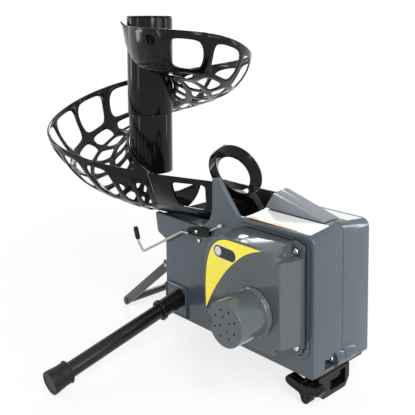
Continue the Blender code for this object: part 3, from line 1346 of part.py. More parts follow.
def lattice(surface, columns, rows, wall, window, across_count=4, along_counts=(2, 1, 1, 1, 1)):
    """A curved skin of one tile per column and row. window(i, j) gives the (left, right, top, bottom)
    shares of a tile that stay solid round its rounded window, or None for a solid tile. wall(a, v) is the
    skin's thickness."""
    bm = bmesh.new()
    made = {}

    def pair(a, v):
        """The outer and inner vertex at a place on the skin."""
        key = (round(a, 5), round(v, 5))
        if key not in made:
            outer = surface(a, v)
            made[key] = (bm.verts.new(outer), bm.verts.new(outer + normal_at(surface, a, v) * wall(a, v)))
        return made[key]

    def quad(corners):
        pairs = [pair(*corner) for corner in corners]
        bm.faces.new([p[0] for p in pairs])
        bm.faces.new([p[1] for p in reversed(pairs)])

    def side(first, second):
        a, b = pair(*first), pair(*second)
        bm.faces.new((a[0], a[1], b[1], b[0]))

    for i, (a0, a1) in enumerate(zip(columns, columns[1:])):
        for j, (v0, v1) in enumerate(zip(rows, rows[1:])):
            n, m = across_count, along_counts[j]
            frame = [(-1 + 2 * k / n, -1) for k in range(n)] + [(1, -1 + 2 * k / m) for k in range(m)]
            frame += [(1 - 2 * k / n, 1) for k in range(n)] + [(-1, 1 - 2 * k / m) for k in range(m)]

            def place(s, t):
                return (a0 + (a1 - a0) * (s + 1) / 2, v0 + (v1 - v0) * (t + 1) / 2)

            margins = window(i, j)
            if margins is None:
                for p in range(n):
                    for q in range(m):
                        s0, s1 = -1 + 2 * p / n, -1 + 2 * (p + 1) / n
                        t0, t1 = -1 + 2 * q / m, -1 + 2 * (q + 1) / m
                        quad([place(s0, t0), place(s0, t1), place(s1, t1), place(s1, t0)])
            else:
                left, right, top, bottom = margins
                hole = []
                for s, t in frame:
                    u, w = rounded_share(s, t)
                    hole.append(place(-1 + 2 * left + (u + 1) * (1 - left - right),
                                      -1 + 2 * top + (w + 1) * (1 - top - bottom)))
                outer = [place(s, t) for s, t in frame]
                for k in range(len(frame)):
                    following = (k + 1) % len(frame)
                    quad([outer[k], hole[k], hole[following], outer[following]])
                    side(hole[k], hole[following])
            if i == 0:
                for k in range(m):
                    side(place(-1, -1 + 2 * k / m), place(-1, -1 + 2 * (k + 1) / m))
            if i == len(columns) - 2:
                for k in range(m):
                    side(place(1, -1 + 2 * k / m), place(1, -1 + 2 * (k + 1) / m))
            if j == 0:
                for k in range(n):
                    side(place(-1 + 2 * k / n, -1), place(-1 + 2 * (k + 1) / n, -1))
            if j == len(rows) - 2:
                for k in range(n):
                    side(place(-1 + 2 * k / n, 1), place(-1 + 2 * (k + 1) / n, 1))
    return solid(bm)


def ramp_wall(a, v):
    """The skin's thickness: thinner where the trough is narrow, with a bead along the rim."""
    spread = RAMP_START_RADIUS + (RAMP_RADIUS - RAMP_START_RADIUS) * monotone(SPREAD, a)
    limit = (spread - UPPER_TUBE_RADIUS) * 0.28
    bead = 0.002 if v < 0.001 else 0
    return min(RAMP_WALL + bead, limit)


def ramp_windows(posts, special):
    """Margins that leave bars of one width between the windows, wider ones where two mouldings meet.
    special gives the margins, or None for a solid tile, of the tiles that don't follow the rule."""
    surface = ramp_surface(UPPER_TUBE_RADIUS)

    def window(i, j):
        if (i, j) in special or j == len(ROWS) - 2:
            return special.get((i, j))
        middle_v = (ROWS[j] + ROWS[j + 1]) / 2
        width = (surface(posts[i + 1], middle_v) - surface(posts[i], middle_v)).length
        height = (surface(posts[i], ROWS[j + 1]) - surface(posts[i], ROWS[j])).length
        left = min((JOINT_BAR if i == 0 else RAMP_BAR) / 2 / width, 0.3)
        right = min((JOINT_BAR if i == len(posts) - 2 else RAMP_BAR) / 2 / width, 0.3)
        above = min(RAMP_BAR / 2 / height, 0.3)
        rim = RIM_BAND / (ROWS[1] - ROWS[0]) if j == 0 else above
        return (left, right, rim, above)

    return window


def make_ramp():
    """Three mouldings end to end, each seated on the column along its inner edge."""
    end_gap = degrees(GAP / (RAMP_RADIUS * 0.6))
    upper_seat = UPPER_TUBE_RADIUS + GAP
    lower_seat = LOWER_TUBE_RADIUS + GAP
    start_tiles = {(i, j): SLOT_TILE.get((i, j)) for i in range(4) for j in range(len(ROWS))}
    parts = (("ramp_upper", UPPER_POSTS, upper_seat, start_tiles),
             ("ramp_middle", MIDDLE_POSTS, upper_seat, {}),
             ("ramp_lower", LOWER_POSTS, lower_seat, END_TILES))
    for name, posts, seat, special in parts:
        columns = list(posts)
        columns[-1] -= end_gap
        shape = lattice(ramp_surface(seat), columns, ROWS, ramp_wall, ramp_windows(columns, special))
        finish(shape, name, "gloss_black", (COLUMN_X, 0, 0))


def chute_surface():
    """From the ramp's last section to an upright trough between the housing's halves."""
    start = ramp_surface(LOWER_TUBE_RADIUS + GAP)
    end_x = EAR_LEFT_X - CHUTE_FIT
    far_y = liner_inner() - GAP
    width = far_y - CHUTE_NEAR_Y
    first_floor = start(LOWER_POSTS[-1], 1).z
    first_top = start(LOWER_POSTS[-1], 2).z

    def point(s, v):
        share = min(max(s, 0.0), 1.0)
        first = start(LOWER_POSTS[-1], v)
        offset, z = section(width, CHUTE_END_Z, 0, CHUTE_FAR_TOP_Z, CHUTE_FLOOR_Z, 4.0, v)
        last = Vector((end_x, far_y - offset, z))
        place = first.lerp(last, share) + (last - first) * (s - share)
        if v > 1:
            lift = (first.z - first_floor) / (first_top - first_floor)
            place.z -= monotone(CHUTE_DIP, share) * lift
        return place

    return point


def make_exit_chute():
    """The trough that hands the ball to the arm: a window in its near wall, and the far side cut away
    where the arm's ring swings."""
    surface = chute_surface()
    columns = [0.0015, 0.2, 0.33, 0.48, 0.7, 1]
    rows = [0, 0.56, 0.8, 1.2, 1.6, 2]
    chute = lattice(surface, columns, rows, lambda s, v: CHUTE_WALL, lambda i, j: None, 2, (2, 3, 2, 3, 2))
    cut_outline = rounded([
        (EAR_LEFT_X - CHUTE_FIT, CHUTE_END_Z + 0.1, 0),
        (EAR_LEFT_X - CHUTE_FIT, LEDGE_Z + CHUTE_FIT, CUTOUT_RADIUS),
        (LEFT_END_X - LEDGE_REACH - 0.001, LEDGE_Z + 0.002 + CHUTE_FIT, 0),
        (LEFT_END_X - LEDGE_REACH - 0.001, LEDGE_Z - 0.05, 0),
        (EAR_LEFT_X + 0.05, LEDGE_Z - 0.05, 0),
        (EAR_LEFT_X + 0.05, CHUTE_END_Z + 0.1, 0),
    ])
    corner = prism(cut_outline, -0.15, 0.10)
    swing = block(FLOOR_OPEN_X, EAR_LEFT_X + 0.02, -FLOOR_OPEN_HALF, HALF_WIDTH,
                  CHUTE_FLOOR_Z - 0.02, CHUTE_END_Z + 0.05)
    chute = cut(chute, corner, swing, prism(rounded(CHUTE_WINDOW), -0.13, -0.05))
    finish(chute, "exit_chute", "gloss_black")


# Power


def cell_rows():
    """Height and the two distances from the seam of the cells' axes."""
    z = BASE_Z + PLASTIC_WALL + GAP + TRAY_WALL + CELL_GAP / 2 + CELL_RADIUS
    first = TRAY_FAR_Y - TRAY_WALL - CELL_RADIUS
    return z, (first, first - 2 * CELL_RADIUS - CELL_GAP)


def tray_left_x():
    return TRAY_RIGHT_X - 2 * (CELL_LENGTH + CELL_GAP) - CELL_GAP - 2 * TRAY_WALL


def tray_top_z():
    return cell_rows()[0] + CELL_RADIUS + CELL_GAP + TRAY_WALL


def make_battery_tray():
    z, rows = cell_rows()
    bottom = BASE_Z + PLASTIC_WALL + GAP
    near = rows[1] - CELL_RADIUS - CELL_GAP - TRAY_WALL
    tray = block(tray_left_x(), TRAY_RIGHT_X, near, TRAY_FAR_Y, bottom, tray_top_z())
    room = block(tray_left_x() + TRAY_WALL, TRAY_RIGHT_X - TRAY_WALL, near + TRAY_WALL, TRAY_FAR_Y + 0.01,
                 bottom + TRAY_WALL, tray_top_z() - TRAY_WALL)
    finish(cut(tray, room), "battery_tray", "satin_black")


def make_cells():
    z, rows = cell_rows()
    number = 0
    for y in rows:
        for place in range(2):
            number += 1
            start = tray_left_x() + TRAY_WALL + CELL_GAP + place * (CELL_LENGTH + CELL_GAP)
            body = CELL_LENGTH - 0.0015
            profile = [(0, 0), (CELL_RADIUS, 0), (CELL_RADIUS, body), (CELL_NUB, body),
                       (CELL_NUB, CELL_LENGTH), (0, CELL_LENGTH)]
            cell = aim(turned(profile, 12), (start, y, z), (start + 1, y, z))
            finish(cell, f"battery_cell_{number}", "cell_jacket", (start, y, z))


def door_opening():
    """The opening in the far face: left, right, bottom, top."""
    return (tray_left_x() - 0.001, TRAY_RIGHT_X + 0.001, cell_rows()[0] - CELL_RADIUS + 0.0015, tray_top_z())


def door_hinge():
    return (HALF_WIDTH + DOOR_HINGE_OUT, door_opening()[2] - DOOR_HINGE_DOWN)


def hinge_bar(x0, x1, radius, sides=10):
    y, z = door_hinge()
    return rod((x0, y, z), (x1, y, z), radius, sides)


def knuckle_places(outer):
    left, right = door_opening()[:2]
    middle = (left + right) / 2
    length = (right - left) * 0.18
    if outer:
        return ((middle - 2 * length, middle - length - GAP), (middle + length + GAP, middle + 2 * length))
    return ((middle - length, middle + length),)


def door_knuckles():
    """The far shell's two knuckles, each with a stub pin towards the door's own knuckle."""
    (left_start, left_end), (right_start, right_end) = knuckle_places(outer=True)
    y, z = door_hinge()
    webs = [block(x0, x1, HALF_WIDTH - 0.0005, y, z - DOOR_KNUCKLE, z)
            for x0, x1 in knuckle_places(outer=True)]
    return webs + [
        hinge_bar(left_start, left_end, DOOR_KNUCKLE),
        hinge_bar(left_end - 0.001, left_end + DOOR_STUB, DOOR_PIN, 8),
        hinge_bar(right_start, right_end, DOOR_KNUCKLE),
        hinge_bar(right_start - DOOR_STUB, right_start + 0.001, DOOR_PIN, 8),
    ]


def make_battery_door():
    left, right, low, high = door_opening()
    c = DOOR_CLEARANCE
    door = block(left + c, right - c, HALF_WIDTH - PLASTIC_WALL, HALF_WIDTH, low + c, high - c)
    middle = (left + right) / 2
    latch = block(middle - 0.009, middle + 0.009, HALF_WIDTH - 0.001, HALF_WIDTH + 0.0025, high - 0.010,
                  high - 0.005)
    start, end = knuckle_places(outer=False)[0]
    y, z = door_hinge()
    web = block(start, end, HALF_WIDTH + GAP * 2, y, z, low + 0.004)
    tab = block(start, end, HALF_WIDTH - 0.0005, y, low + 0.002, low + 0.004)
    door = join(door, latch, hinge_bar(start, end, DOOR_KNUCKLE), web, tab)
    door = cut(door, hinge_bar(start - 0.01, start + DOOR_STUB + 0.001, DOOR_PIN + GAP, 8),
               hinge_bar(end - DOOR_STUB - 0.001, end + 0.01, DOOR_PIN + GAP, 8))
    finish(door, "battery_door", "satin_black", (middle, y, z))


def make_switch():
    """A rocker switch in the far face, resting tilted to off."""
    half_w, half_h = SWITCH_WIDTH / 2 - GAP, SWITCH_HEIGHT / 2 - GAP
    y = HALF_WIDTH + GAP
    body = block(SWITCH_X - half_w, SWITCH_X + half_w, y - 0.016, y + 0.0005, SWITCH_Z - half_h, SWITCH_Z + half_h)
    bezel = block(SWITCH_X - half_w - SWITCH_BEZEL, SWITCH_X + half_w + SWITCH_BEZEL, y, y + 0.0017,
                  SWITCH_Z - half_h - SWITCH_BEZEL, SWITCH_Z + half_h + SWITCH_BEZEL)
    body = join(body, bezel)
    pocket = block(SWITCH_X - half_w + 0.003, SWITCH_X + half_w - 0.003, y - 0.012, y + 0.01,
                   SWITCH_Z - half_h + 0.0015, SWITCH_Z + half_h - 0.0015)
    finish(cut(body, pocket), "switch_body", "satin_black")
    pivot_y = y - 0.004
    reach = half_h - 0.003
    outline = [(-0.006, -reach * 0.5), (0.004, -reach), (0.0065, -reach), (0.005, 0), (0.0065, reach),
               (0.004, reach), (-0.006, reach * 0.5)]
    tilt = radians(SWITCH_TILT)
    turned_points = [(pivot_y + u * cos(tilt) - v * sin(tilt), SWITCH_Z + u * sin(tilt) + v * cos(tilt))
                     for u, v in outline]
    rocker = prism(turned_points, SWITCH_X - half_w + 0.0035, SWITCH_X + half_w - 0.0035, "X")
    finish(rocker, "power_switch", "rubber", (SWITCH_X, pivot_y, SWITCH_Z))


def make_circuit_board():
    board = block(BOARD_X - BOARD_WIDTH / 2, BOARD_X + BOARD_WIDTH / 2, BOARD_Y, BOARD_Y + BOARD_THICKNESS,
                  BOARD_Z - BOARD_HEIGHT / 2, BOARD_Z + BOARD_HEIGHT / 2)
    parts = [block(BOARD_X + x - 0.004, BOARD_X + x + 0.004, BOARD_Y - 0.006, BOARD_Y + 0.0005,
                   BOARD_Z + z - 0.003, BOARD_Z + z + 0.003) for x, z in ((-0.02, 0.008), (0, -0.008), (0.018, 0.006))]
    finish(join(board, *parts), "circuit_board", "copper_green")


def main():
    for thing in list(bpy.data.objects):
        bpy.data.objects.remove(thing)
    origin = bpy.data.objects.new("machine_origin", None)
    bpy.context.scene.collection.objects.link(origin)
    origin.location = (-MIDDLE_X, 0, 0)
    make_near_shell()
    make_far_shell()
    make_seam_screw()
    make_top_ridge()
    make_throat_liner()
    make_stop_bumper()
    make_gearbox_cover()
    make_cover_screws()
    make_motor_cap()
    make_motor()
    make_gear_frame()
    make_pinion()
    make_drive_gear()
    make_throwing_arm()
    make_arm_shaft()
    make_bushes()
    make_arm_spring()
    make_lever()
    make_leg(NEAR, "near")
    make_leg(FAR, "far")
    make_stand()
    make_base_plate()
    make_foot()
    make_knob()
    make_column()
    make_ramp()
    make_exit_chute()
    make_battery_tray()
    make_cells()
    make_battery_door()
    make_switch()
    make_circuit_board()
    print(f"machine_origin at x = {-MIDDLE_X:.6f}")


main()
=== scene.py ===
"""Dresses the soft toss machine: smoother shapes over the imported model, procedural finishes, floor, light
and camera. Sizes are in metres and x is counted from the housing's end face unless a name says otherwise."""

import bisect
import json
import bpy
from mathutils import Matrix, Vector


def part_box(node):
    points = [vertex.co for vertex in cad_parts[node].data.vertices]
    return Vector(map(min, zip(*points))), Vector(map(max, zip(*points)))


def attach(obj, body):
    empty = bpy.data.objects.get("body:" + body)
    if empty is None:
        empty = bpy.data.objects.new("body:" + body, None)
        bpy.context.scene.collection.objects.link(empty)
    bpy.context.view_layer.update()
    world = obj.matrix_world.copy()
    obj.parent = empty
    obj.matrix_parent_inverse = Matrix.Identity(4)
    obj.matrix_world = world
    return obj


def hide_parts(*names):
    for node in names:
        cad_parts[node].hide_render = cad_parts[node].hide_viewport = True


bl_info = {
    "name": "Soft toss machine",
    "version": (1, 0, 0),
    "blender": (4, 5, 0),
    "location": "3D View > Sidebar > Toss machine",
    "description": "Builds the visible pieces, finishes, floor and light of a soft toss machine",
    "category": "Object",
}

from math import acos, atan2, cos, pi, radians, sin, sqrt, tan

import bmesh
import bpy
from mathutils import Matrix, Vector

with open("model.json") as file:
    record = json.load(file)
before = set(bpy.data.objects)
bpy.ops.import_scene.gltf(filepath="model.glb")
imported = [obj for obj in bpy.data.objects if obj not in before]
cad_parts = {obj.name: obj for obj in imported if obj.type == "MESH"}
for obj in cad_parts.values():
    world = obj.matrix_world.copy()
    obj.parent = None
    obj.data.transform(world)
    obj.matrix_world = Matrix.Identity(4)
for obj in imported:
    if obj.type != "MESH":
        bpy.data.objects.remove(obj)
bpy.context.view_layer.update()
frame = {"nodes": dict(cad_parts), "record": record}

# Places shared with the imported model
COLUMN_X = -0.410
COLUMN_MIDDLE = (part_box("column_cap")[0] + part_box("column_cap")[1]) / 2
END_FACE_X = COLUMN_MIDDLE.x - COLUMN_X

HOUSING_LENGTH = 0.297
HALF_WIDTH = 0.061
WALL = 0.0027
GAP = 0.0003
MILLIMETRE = 0.001
SEAM_GAP = 0.00015
BASE_Z = 0.035
SIDE_TOP_Z = 0.224
CROWN = 0.0055
LEDGE_Z = 0.190
LEDGE_REACH = 0.0265
LEDGE_FOOT_Z = 0.152
EAR_TOP_Z = 0.271
EAR_LEFT_X = -0.1895
EAR_TOP_WIDTH = 0.013
EAR_FOOT_X = -0.135
CUTOUT_RADIUS = 0.036
THROAT_RIGHT_X = -0.1275
THROAT_HALF = 0.0547
BOSS_REACH = 0.006
BOSS_RADIUS = 0.0125
BOSS_Z = 0.0480
BOSS_X = BOSS_REACH - BOSS_RADIUS
BOSS_NEAR_END = -0.016
BOSS_FAR_END = 0.025
THROUGH_FAR_WALL = (0.050, 0.070)

COVER_LEFT_X = -0.155
COVER_RIGHT_X = -0.016
COVER_TOP_Z = 0.2092
COVER_FRONT_Y = -0.108
COVER_BOTTOM_Z = 0.0755
COVER_BACK_Y = -0.0613
NOTCH_FLOOR_Y = -0.0643
NOTCH_CORNER = 0.0085
TOP_SCREW = (-0.028, 0.200)
LOW_SCREW = (-0.026, 0.072)
TOP_LOBE = 0.014
LOW_LOBE = 0.009
COVER_SCREWS = ((TOP_SCREW, TOP_LOBE), (LOW_SCREW, LOW_LOBE))
FACE_GROOVE = [(-0.128, 0.2165, 0), (-0.0066, 0.2165, 0.012), (-0.0066, 0.066, 0.006), (-0.018, 0.058, 0)]
# Stations of the notches round the cover's screws: y, left edge and level
TOP_NOTCH = [(COVER_FRONT_Y - 0.02, -0.0303, 0.1962), (COVER_FRONT_Y, -0.0303, 0.1962),
             (NOTCH_FLOOR_Y, -0.0345, 0.1940)]
LOW_NOTCH = [(COVER_FRONT_Y - 0.02, -0.0275, 0.0860), (COVER_FRONT_Y, -0.0275, 0.0860),
             (NOTCH_FLOOR_Y, -0.0320, 0.0805)]
STICKER_OUTER = [(-0.0470, 0.2060), (-0.0708, 0.2063), (-0.0926, 0.2063), (-0.1090, 0.2060),
                 (-0.1210, 0.2035), (-0.1318, 0.1975), (-0.1400, 0.1885), (-0.1462, 0.1750),
                 (-0.1500, 0.1590), (-0.1517, 0.1400), (-0.1519, 0.1200), (-0.1513, 0.1010)]
STICKER_INNER = [(-0.1513, 0.1010), (-0.1425, 0.1180), (-0.1293, 0.1400), (-0.1097, 0.1650),
                 (-0.0860, 0.1870), (-0.0672, 0.1985), (-0.0470, 0.2060)]
PILL_ENDS = [(-0.1268, 0.1872), (-0.1015, 0.1862)]
MOTOR_AXIS = (-0.060, 0.1235)
CAP_RADIUS = 0.0295
CAP_LENGTH = 0.053
CAP_RING = 0.003

ARM_PIVOT = (-0.116, 0.169)
ARM_LENGTH = 0.1285
ARM_REST = 39.0
RING_RADIUS = 0.0459
RING_FRONT_RADIUS = 0.0433
RING_HOLE = 0.0293
RING_FRONT = 0.0045
RING_BACK = -0.0096

LEVER_PIVOT = (-0.2165, 0.184)
LEVER_TIP = (-0.167, 0.203)
LEVER_THICKNESS = 0.005
STOP_SCREW = (-0.2167, 0.169)
WIRE_PATH = [(-0.232, 0.1785, 0), (-0.2475, 0.1775, 0.010), (-0.346, 0.122, 0.006), (-0.3572, 0.1335, 0.003),
             (-0.3595, 0.139, 0)]
GRIP_END = (-0.3665, 0.159)

LEG_X = -0.262
LEG_START_Z = 0.0682
LEG_SLOPE = 12.8
LEG_RADIUS = 0.011
SOCKET_RADIUS = 0.0135
SOCKET_LENGTH = 0.044
FOOT_CAP_RADIUS = 0.0165
FOOT_CAP_LENGTH = 0.030
LEG_PAD = [(-0.2935, 0.0385, 0.001), (-0.2445, 0.0385, 0.001), (-0.2445, 0.0870, 0.006),
           (-0.2935, 0.0870, 0.003)]
LEG_PAD_HEIGHT = 0.0042

STAND_PIVOT = (-0.309, 0.1045)
STAND_FOOT = (-0.427, 0.00735)
STRAP_INNER_Y = 0.0435
STRAP_THICKNESS = 0.0035
STRAP_WIDTH = 0.0147

FOOT_PIVOT = (-0.0155, 0.018)
KNOB_LOBES = [(169, 0.031), (16, 0.028), (-75, 0.0175)]

COLUMN_TOP_Z = 0.506
COLUMN_SEAM_Z = 0.338
COLUMN_WALL = 0.006
UPPER_TUBE_RADIUS = 0.0392
LOWER_TUBE_RADIUS = 0.0375
RAMP_RADIUS = 0.177
RAMP_START_RADIUS = 0.048
RAMP_TOP_Z = 0.495
RAMP_EXIT_Z = 0.270
RAMP_DEPTH = 0.077
RAMP_LEAN = 6.0
FLOOR_SHARE = 0.45
SEAT_FULLNESS = 1.8
LARGEST_BAR_SHARE = 0.3
RIM_SHARE = 0.13
MOULDING_GAP = 0.08
DEGREES_PER_RIM_STEP = 3
SPREAD = [(-133, 0), (-100, 0.016), (-80, 0.062), (-60, 0.217), (-40, 0.465), (-20, 0.729), (0, 0.915),
          (20, 0.99), (40, 1), (300, 1)]
DROP = [(-133, 0), (-90, 0.022), (-38, 0.04), (-6, 0.071), (43, 0.24), (100, 0.373), (156, 0.507),
        (222, 0.751), (270, 0.88), (322, 1)]
DEPTH = [(-133, 0.23), (-90, 0.58), (-43, 0.91), (0, 1), (320, 1)]
SEAT_DROP = [(-133, 0.020), (-90, 0.042), (-43, 0.0665), (46, 0.052), (136, 0.047), (226, 0.027),
             (320, 0.029)]
FULLNESS = [(-133, 0.7), (-100, 1.0), (-75, 1.85), (90, 1.85), (170, 1.55), (320, 1.55)]
ROWS = [0, 0.635, 0.965, 1.39, 1.80, 2]
UPPER_POSTS = [-133, -105, -78, -54, -29, -4.5]
MIDDLE_POSTS = [-4.5, 21, 46, 70, 97, 121, 146, 171]
LOWER_POSTS = [171, 195.5, 220, 243, 265.5, 283, 300, 310, 320]
SLOT_TILE = {(3, 0): (0.46, 0.27, 0.17, 0.60)}
END_TILES = {(6, 0): (0.14, 0.14, 0.42, 0.07), (7, 0): (0.14, 0.30, 0.38, 0.07)}

CHUTE_END_Z = 0.264
CHUTE_FLOOR_Z = 0.1905
CHUTE_NEAR_Y = -0.057
CHUTE_FAR_TOP_Z = 0.230
CHUTE_FAR_Y = 0.0511
CHUTE_FIT = 0.0008
CHUTE_WALL = 0.003
CHUTE_COLUMNS = [0.0015, 0.1, 0.2, 0.3, 0.4, 0.5, 0.65, 0.8, 1]
CHUTE_ROWS = [0, 0.3, 0.56, 0.8, 1.0, 1.2, 1.4, 1.6, 1.8, 2]
CHUTE_DIP = [(0, 0.020), (0.2, 0.027), (0.33, 0.015), (0.41, 0.0065), (0.5, 0), (1, 0)]
CHUTE_WINDOW = [(-0.2452, 0.2187, 0.006), (-0.2008, 0.2178, 0.008), (-0.2008, 0.2556, 0.006),
                (-0.2452, 0.2583, 0.005)]

RIDGE = {"left": -0.126, "top": -0.111, "right": -0.020, "height": 0.255, "near": -0.015, "far": 0.017}

NEAR = -1
FAR = 1

# The camera, in pixels of a square picture, degrees and metres, and the stage round the machine
PICTURE_SIZE = 415
FOCAL_LENGTH = 669.86
LENS_CENTRE = (216.69, 78.45)
SENSOR_WIDTH = 36
CAMERA_PLACE = (0.5129, -0.7149, 0.4953)
CAMERA_YAW, CAMERA_PITCH, CAMERA_ROLL = 46.553, 4.8355, 0.288
WORLD_LEVEL = 0.38
FLOOR_FADE = (0.45, 0.95)
FLOOR_WHITE_NEARBY = 0.80
LIT_POINT = Vector((0, 0, 0.25))
FLOOR_RADIUS = 6.0


# Settings


class FinishSettings(bpy.types.PropertyGroup):
    """Colours of the machine's finishes"""

    shell: bpy.props.FloatVectorProperty(
        name="Housing", description="Blue-grey of the moulded housing", subtype="COLOR", size=3, min=0,
        max=1, default=(0.060, 0.081, 0.098))
    cover: bpy.props.FloatVectorProperty(
        name="Gearbox cover", description="Grey of the gearbox cover and motor cap", subtype="COLOR", size=3,
        min=0, max=1, default=(0.072, 0.086, 0.092))
    black: bpy.props.FloatVectorProperty(
        name="Gloss black", description="Black of the ramp, column and arm", subtype="COLOR", size=3, min=0,
        max=1, default=(0.003, 0.003, 0.0035))
    sticker: bpy.props.FloatVectorProperty(
        name="Sticker", description="Yellow of the sticker on the cover", subtype="COLOR", size=3, min=0,
        max=1, default=(0.92, 0.80, 0.06))
    ridge: bpy.props.FloatVectorProperty(
        name="Top ridge", description="Light grey of the ridge over the seam", subtype="COLOR", size=3,
        min=0, max=1, default=(0.19, 0.215, 0.24))


class ShapeSettings(bpy.types.PropertyGroup):
    """Sizes of the visible details"""

    ramp_wall: bpy.props.FloatProperty(
        name="Ramp wall", description="Thickness of the ramp's bars", default=0.0032, min=0.002, max=0.005,
        unit="LENGTH")
    ramp_bar: bpy.props.FloatProperty(
        name="Ramp bar", description="Width of the bars between the ramp's windows", default=0.0112,
        min=0.006, max=0.016, unit="LENGTH")
    joint_bar: bpy.props.FloatProperty(
        name="Joint bar", description="Width of the bar where two of the ramp's mouldings meet",
        default=0.0175, min=0.008, max=0.025, unit="LENGTH")
    rim_bead: bpy.props.FloatProperty(
        name="Rim bead", description="Radius of the bead along the ramp's rim", default=0.0024, min=0.001,
        max=0.004, unit="LENGTH")
    edge_radius: bpy.props.FloatProperty(
        name="Edge radius", description="Rounding of the housing's long edges", default=0.002, min=0.0005,
        max=0.004, unit="LENGTH")
    vent_radius: bpy.props.FloatProperty(
        name="Vent radius", description="Radius of the motor cap's vent holes", default=0.0016, min=0.001,
        max=0.003, unit="LENGTH")


class StageSettings(bpy.types.PropertyGroup):
    """Floor and light"""

    key_power: bpy.props.FloatProperty(
        name="Key light", description="Power of the tall soft light on the right", default=36.0, min=0,
        unit="POWER")
    fill_power: bpy.props.FloatProperty(
        name="Fill light", description="Power of the light on the machine's end; all but the key follow it",
        default=9.0, min=0, unit="POWER")
    floor_colour: bpy.props.FloatVectorProperty(
        name="Floor", description="Colour of the floor", subtype="COLOR", size=3, min=0, max=1,
        default=(0.93, 0.93, 0.93))


# Shapes


def new_object(name, mesh):
    shape = bpy.data.objects.new(name, mesh)
    bpy.context.scene.collection.objects.link(shape)
    return shape


def drop(thing):
    """Removes a helper object and its mesh."""
    mesh = thing.data
    bpy.data.objects.remove(thing)
    bpy.data.meshes.remove(mesh)


def solid(bm):
    """A closed mesh object with its faces pointing out."""
    bmesh.ops.remove_doubles(bm, verts=bm.verts, dist=1e-7)
    bmesh.ops.recalc_face_normals(bm, faces=bm.faces)
    mesh = bpy.data.meshes.new("shape")
    bm.to_mesh(mesh)
    bm.free()
    return new_object("shape", mesh)


def skin(loops):
    """A solid through closed loops of as many points each, capped at both ends."""
    bm = bmesh.new()
    rings = [[bm.verts.new(point) for point in loop] for loop in loops]
    count = len(rings[0])
    for lower, upper in zip(rings, rings[1:]):
        for i in range(count):
            j = (i + 1) % count
            bm.faces.new((lower[i], lower[j], upper[j], upper[i]))
    for cap in (rings[0], rings[-1]):
        face = bm.faces.new(cap)
        face.normal_update()
        bmesh.ops.triangulate(bm, faces=[face])
    return solid(bm)


def placed(outline, level):
    """The points of a flat outline of (x, z) at y = level."""
    return [(x, level, z) for x, z in outline]


def prism(outline, low, high):
    return skin([placed(outline, low), placed(outline, high)])


def block(x0, x1, y0, y1, z0, z1):
    return prism([(x0, z0), (x1, z0), (x1, z1), (x0, z1)], y0, y1)


def rounded(corners, steps=8):
    """An outline whose corners (u, v, radius) are turned into arcs."""
    outline = []
    count = len(corners)
    for i, (u, v, radius) in enumerate(corners):
        here = Vector((u, v))
        if radius <= 0:
            outline.append((u, v))
            continue
        before = (Vector(corners[i - 1][:2]) - here).normalized()
        after = (Vector(corners[(i + 1) % count][:2]) - here).normalized()
        half = acos(max(-1, min(1, before.dot(after)))) / 2
        centre = here + (before + after).normalized() * (radius / sin(half))
        start = here + before * (radius / tan(half)) - centre
        end = here + after * (radius / tan(half)) - centre
        first = atan2(start.y, start.x)
        turn = (atan2(end.y, end.x) - first + pi) % (2 * pi) - pi
        for k in range(steps + 1):
            angle = first + turn * k / steps
            outline.append((centre.x + radius * cos(angle), centre.y + radius * sin(angle)))
    return outline


def inset(outline, distance):
    """The same outline moved inwards, point for point."""
    area = sum(a[0] * b[1] - b[0] * a[1] for a, b in zip(outline, outline[1:] + outline[:1]))
    side = 1 if area > 0 else -1
    moved = []
    for i, point in enumerate(outline):
        here = Vector(point)
        before = (here - Vector(outline[i - 1])).normalized()
        after = (Vector(outline[(i + 1) % len(outline)]) - here).normalized()
        normal = Vector((-before.y - after.y, before.x + after.x)) * side
        normal.normalize()
        edge = Vector((-before.y, before.x)) * side
        moved.append(tuple(here + normal * (distance / max(0.3, normal.dot(edge)))))
    return moved


def round_over(outline, flat, side, radius, steps=4):
    """Loops that round a flat face at y = flat over into its walls; side points outwards along Y."""
    angles = [pi / 2 * k / steps for k in range(steps + 1)]
    return [placed(inset(outline, radius * (1 - sin(angle))), flat - side * radius * (1 - cos(angle)))
            for angle in angles]


def turned(profile, sides=64):
    """A profile of (radius, height) turned round Z; points on the axis close it."""
    bm = bmesh.new()
    rings = []
    for radius, height in profile:
        if radius <= 0:
            rings.append([bm.verts.new((0, 0, height))])
        else:
            rings.append([bm.verts.new((radius * cos(2 * pi * k / sides), radius * sin(2 * pi * k / sides),
                                        height)) for k in range(sides)])
    pairs = list(zip(rings, rings[1:]))
    if profile[0][0] > 0:
        pairs.append((rings[-1], rings[0]))
    for first, second in pairs:
        for k in range(sides):
            n = (k + 1) % sides
            if len(first) == 1:
                bm.faces.new((first[0], second[k], second[n]))
            elif len(second) == 1:
                bm.faces.new((first[n], first[k], second[0]))
            else:
                bm.faces.new((first[k], first[n], second[n], second[k]))
    return solid(bm)


def softened(profile, radius=0.0006, steps=3):
    """A turned profile with its corners off the axis rounded."""
    closed = profile[0][0] > 0
    points = []
    count = len(profile)
    for i, (r, h) in enumerate(profile):
        at_end = i in (0, count - 1) and not closed
        if r <= 0 or at_end:
            points.append((r, h))
            continue
        here = Vector((r, h))
        before = Vector(profile[i - 1]) - here
        after = Vector(profile[(i + 1) % count]) - here
        reach = min(radius, before.length * 0.4, after.length * 0.4)
        start, end = here + before.normalized() * reach, here + after.normalized() * reach
        for k in range(steps + 1):
            t = k / steps
            point = start * (1 - t) ** 2 + here * 2 * t * (1 - t) + end * t ** 2
            points.append((point.x, point.y))
    return points


def aim(shape, start, end):
    """Moves a shape turned round Z to start, with its axis towards end."""
    direction = (Vector(end) - Vector(start)).normalized()
    turn = Vector((0, 0, 1)).rotation_difference(direction).to_matrix().to_4x4()
    shape.data.transform(Matrix.Translation(Vector(start)) @ turn)
    return shape


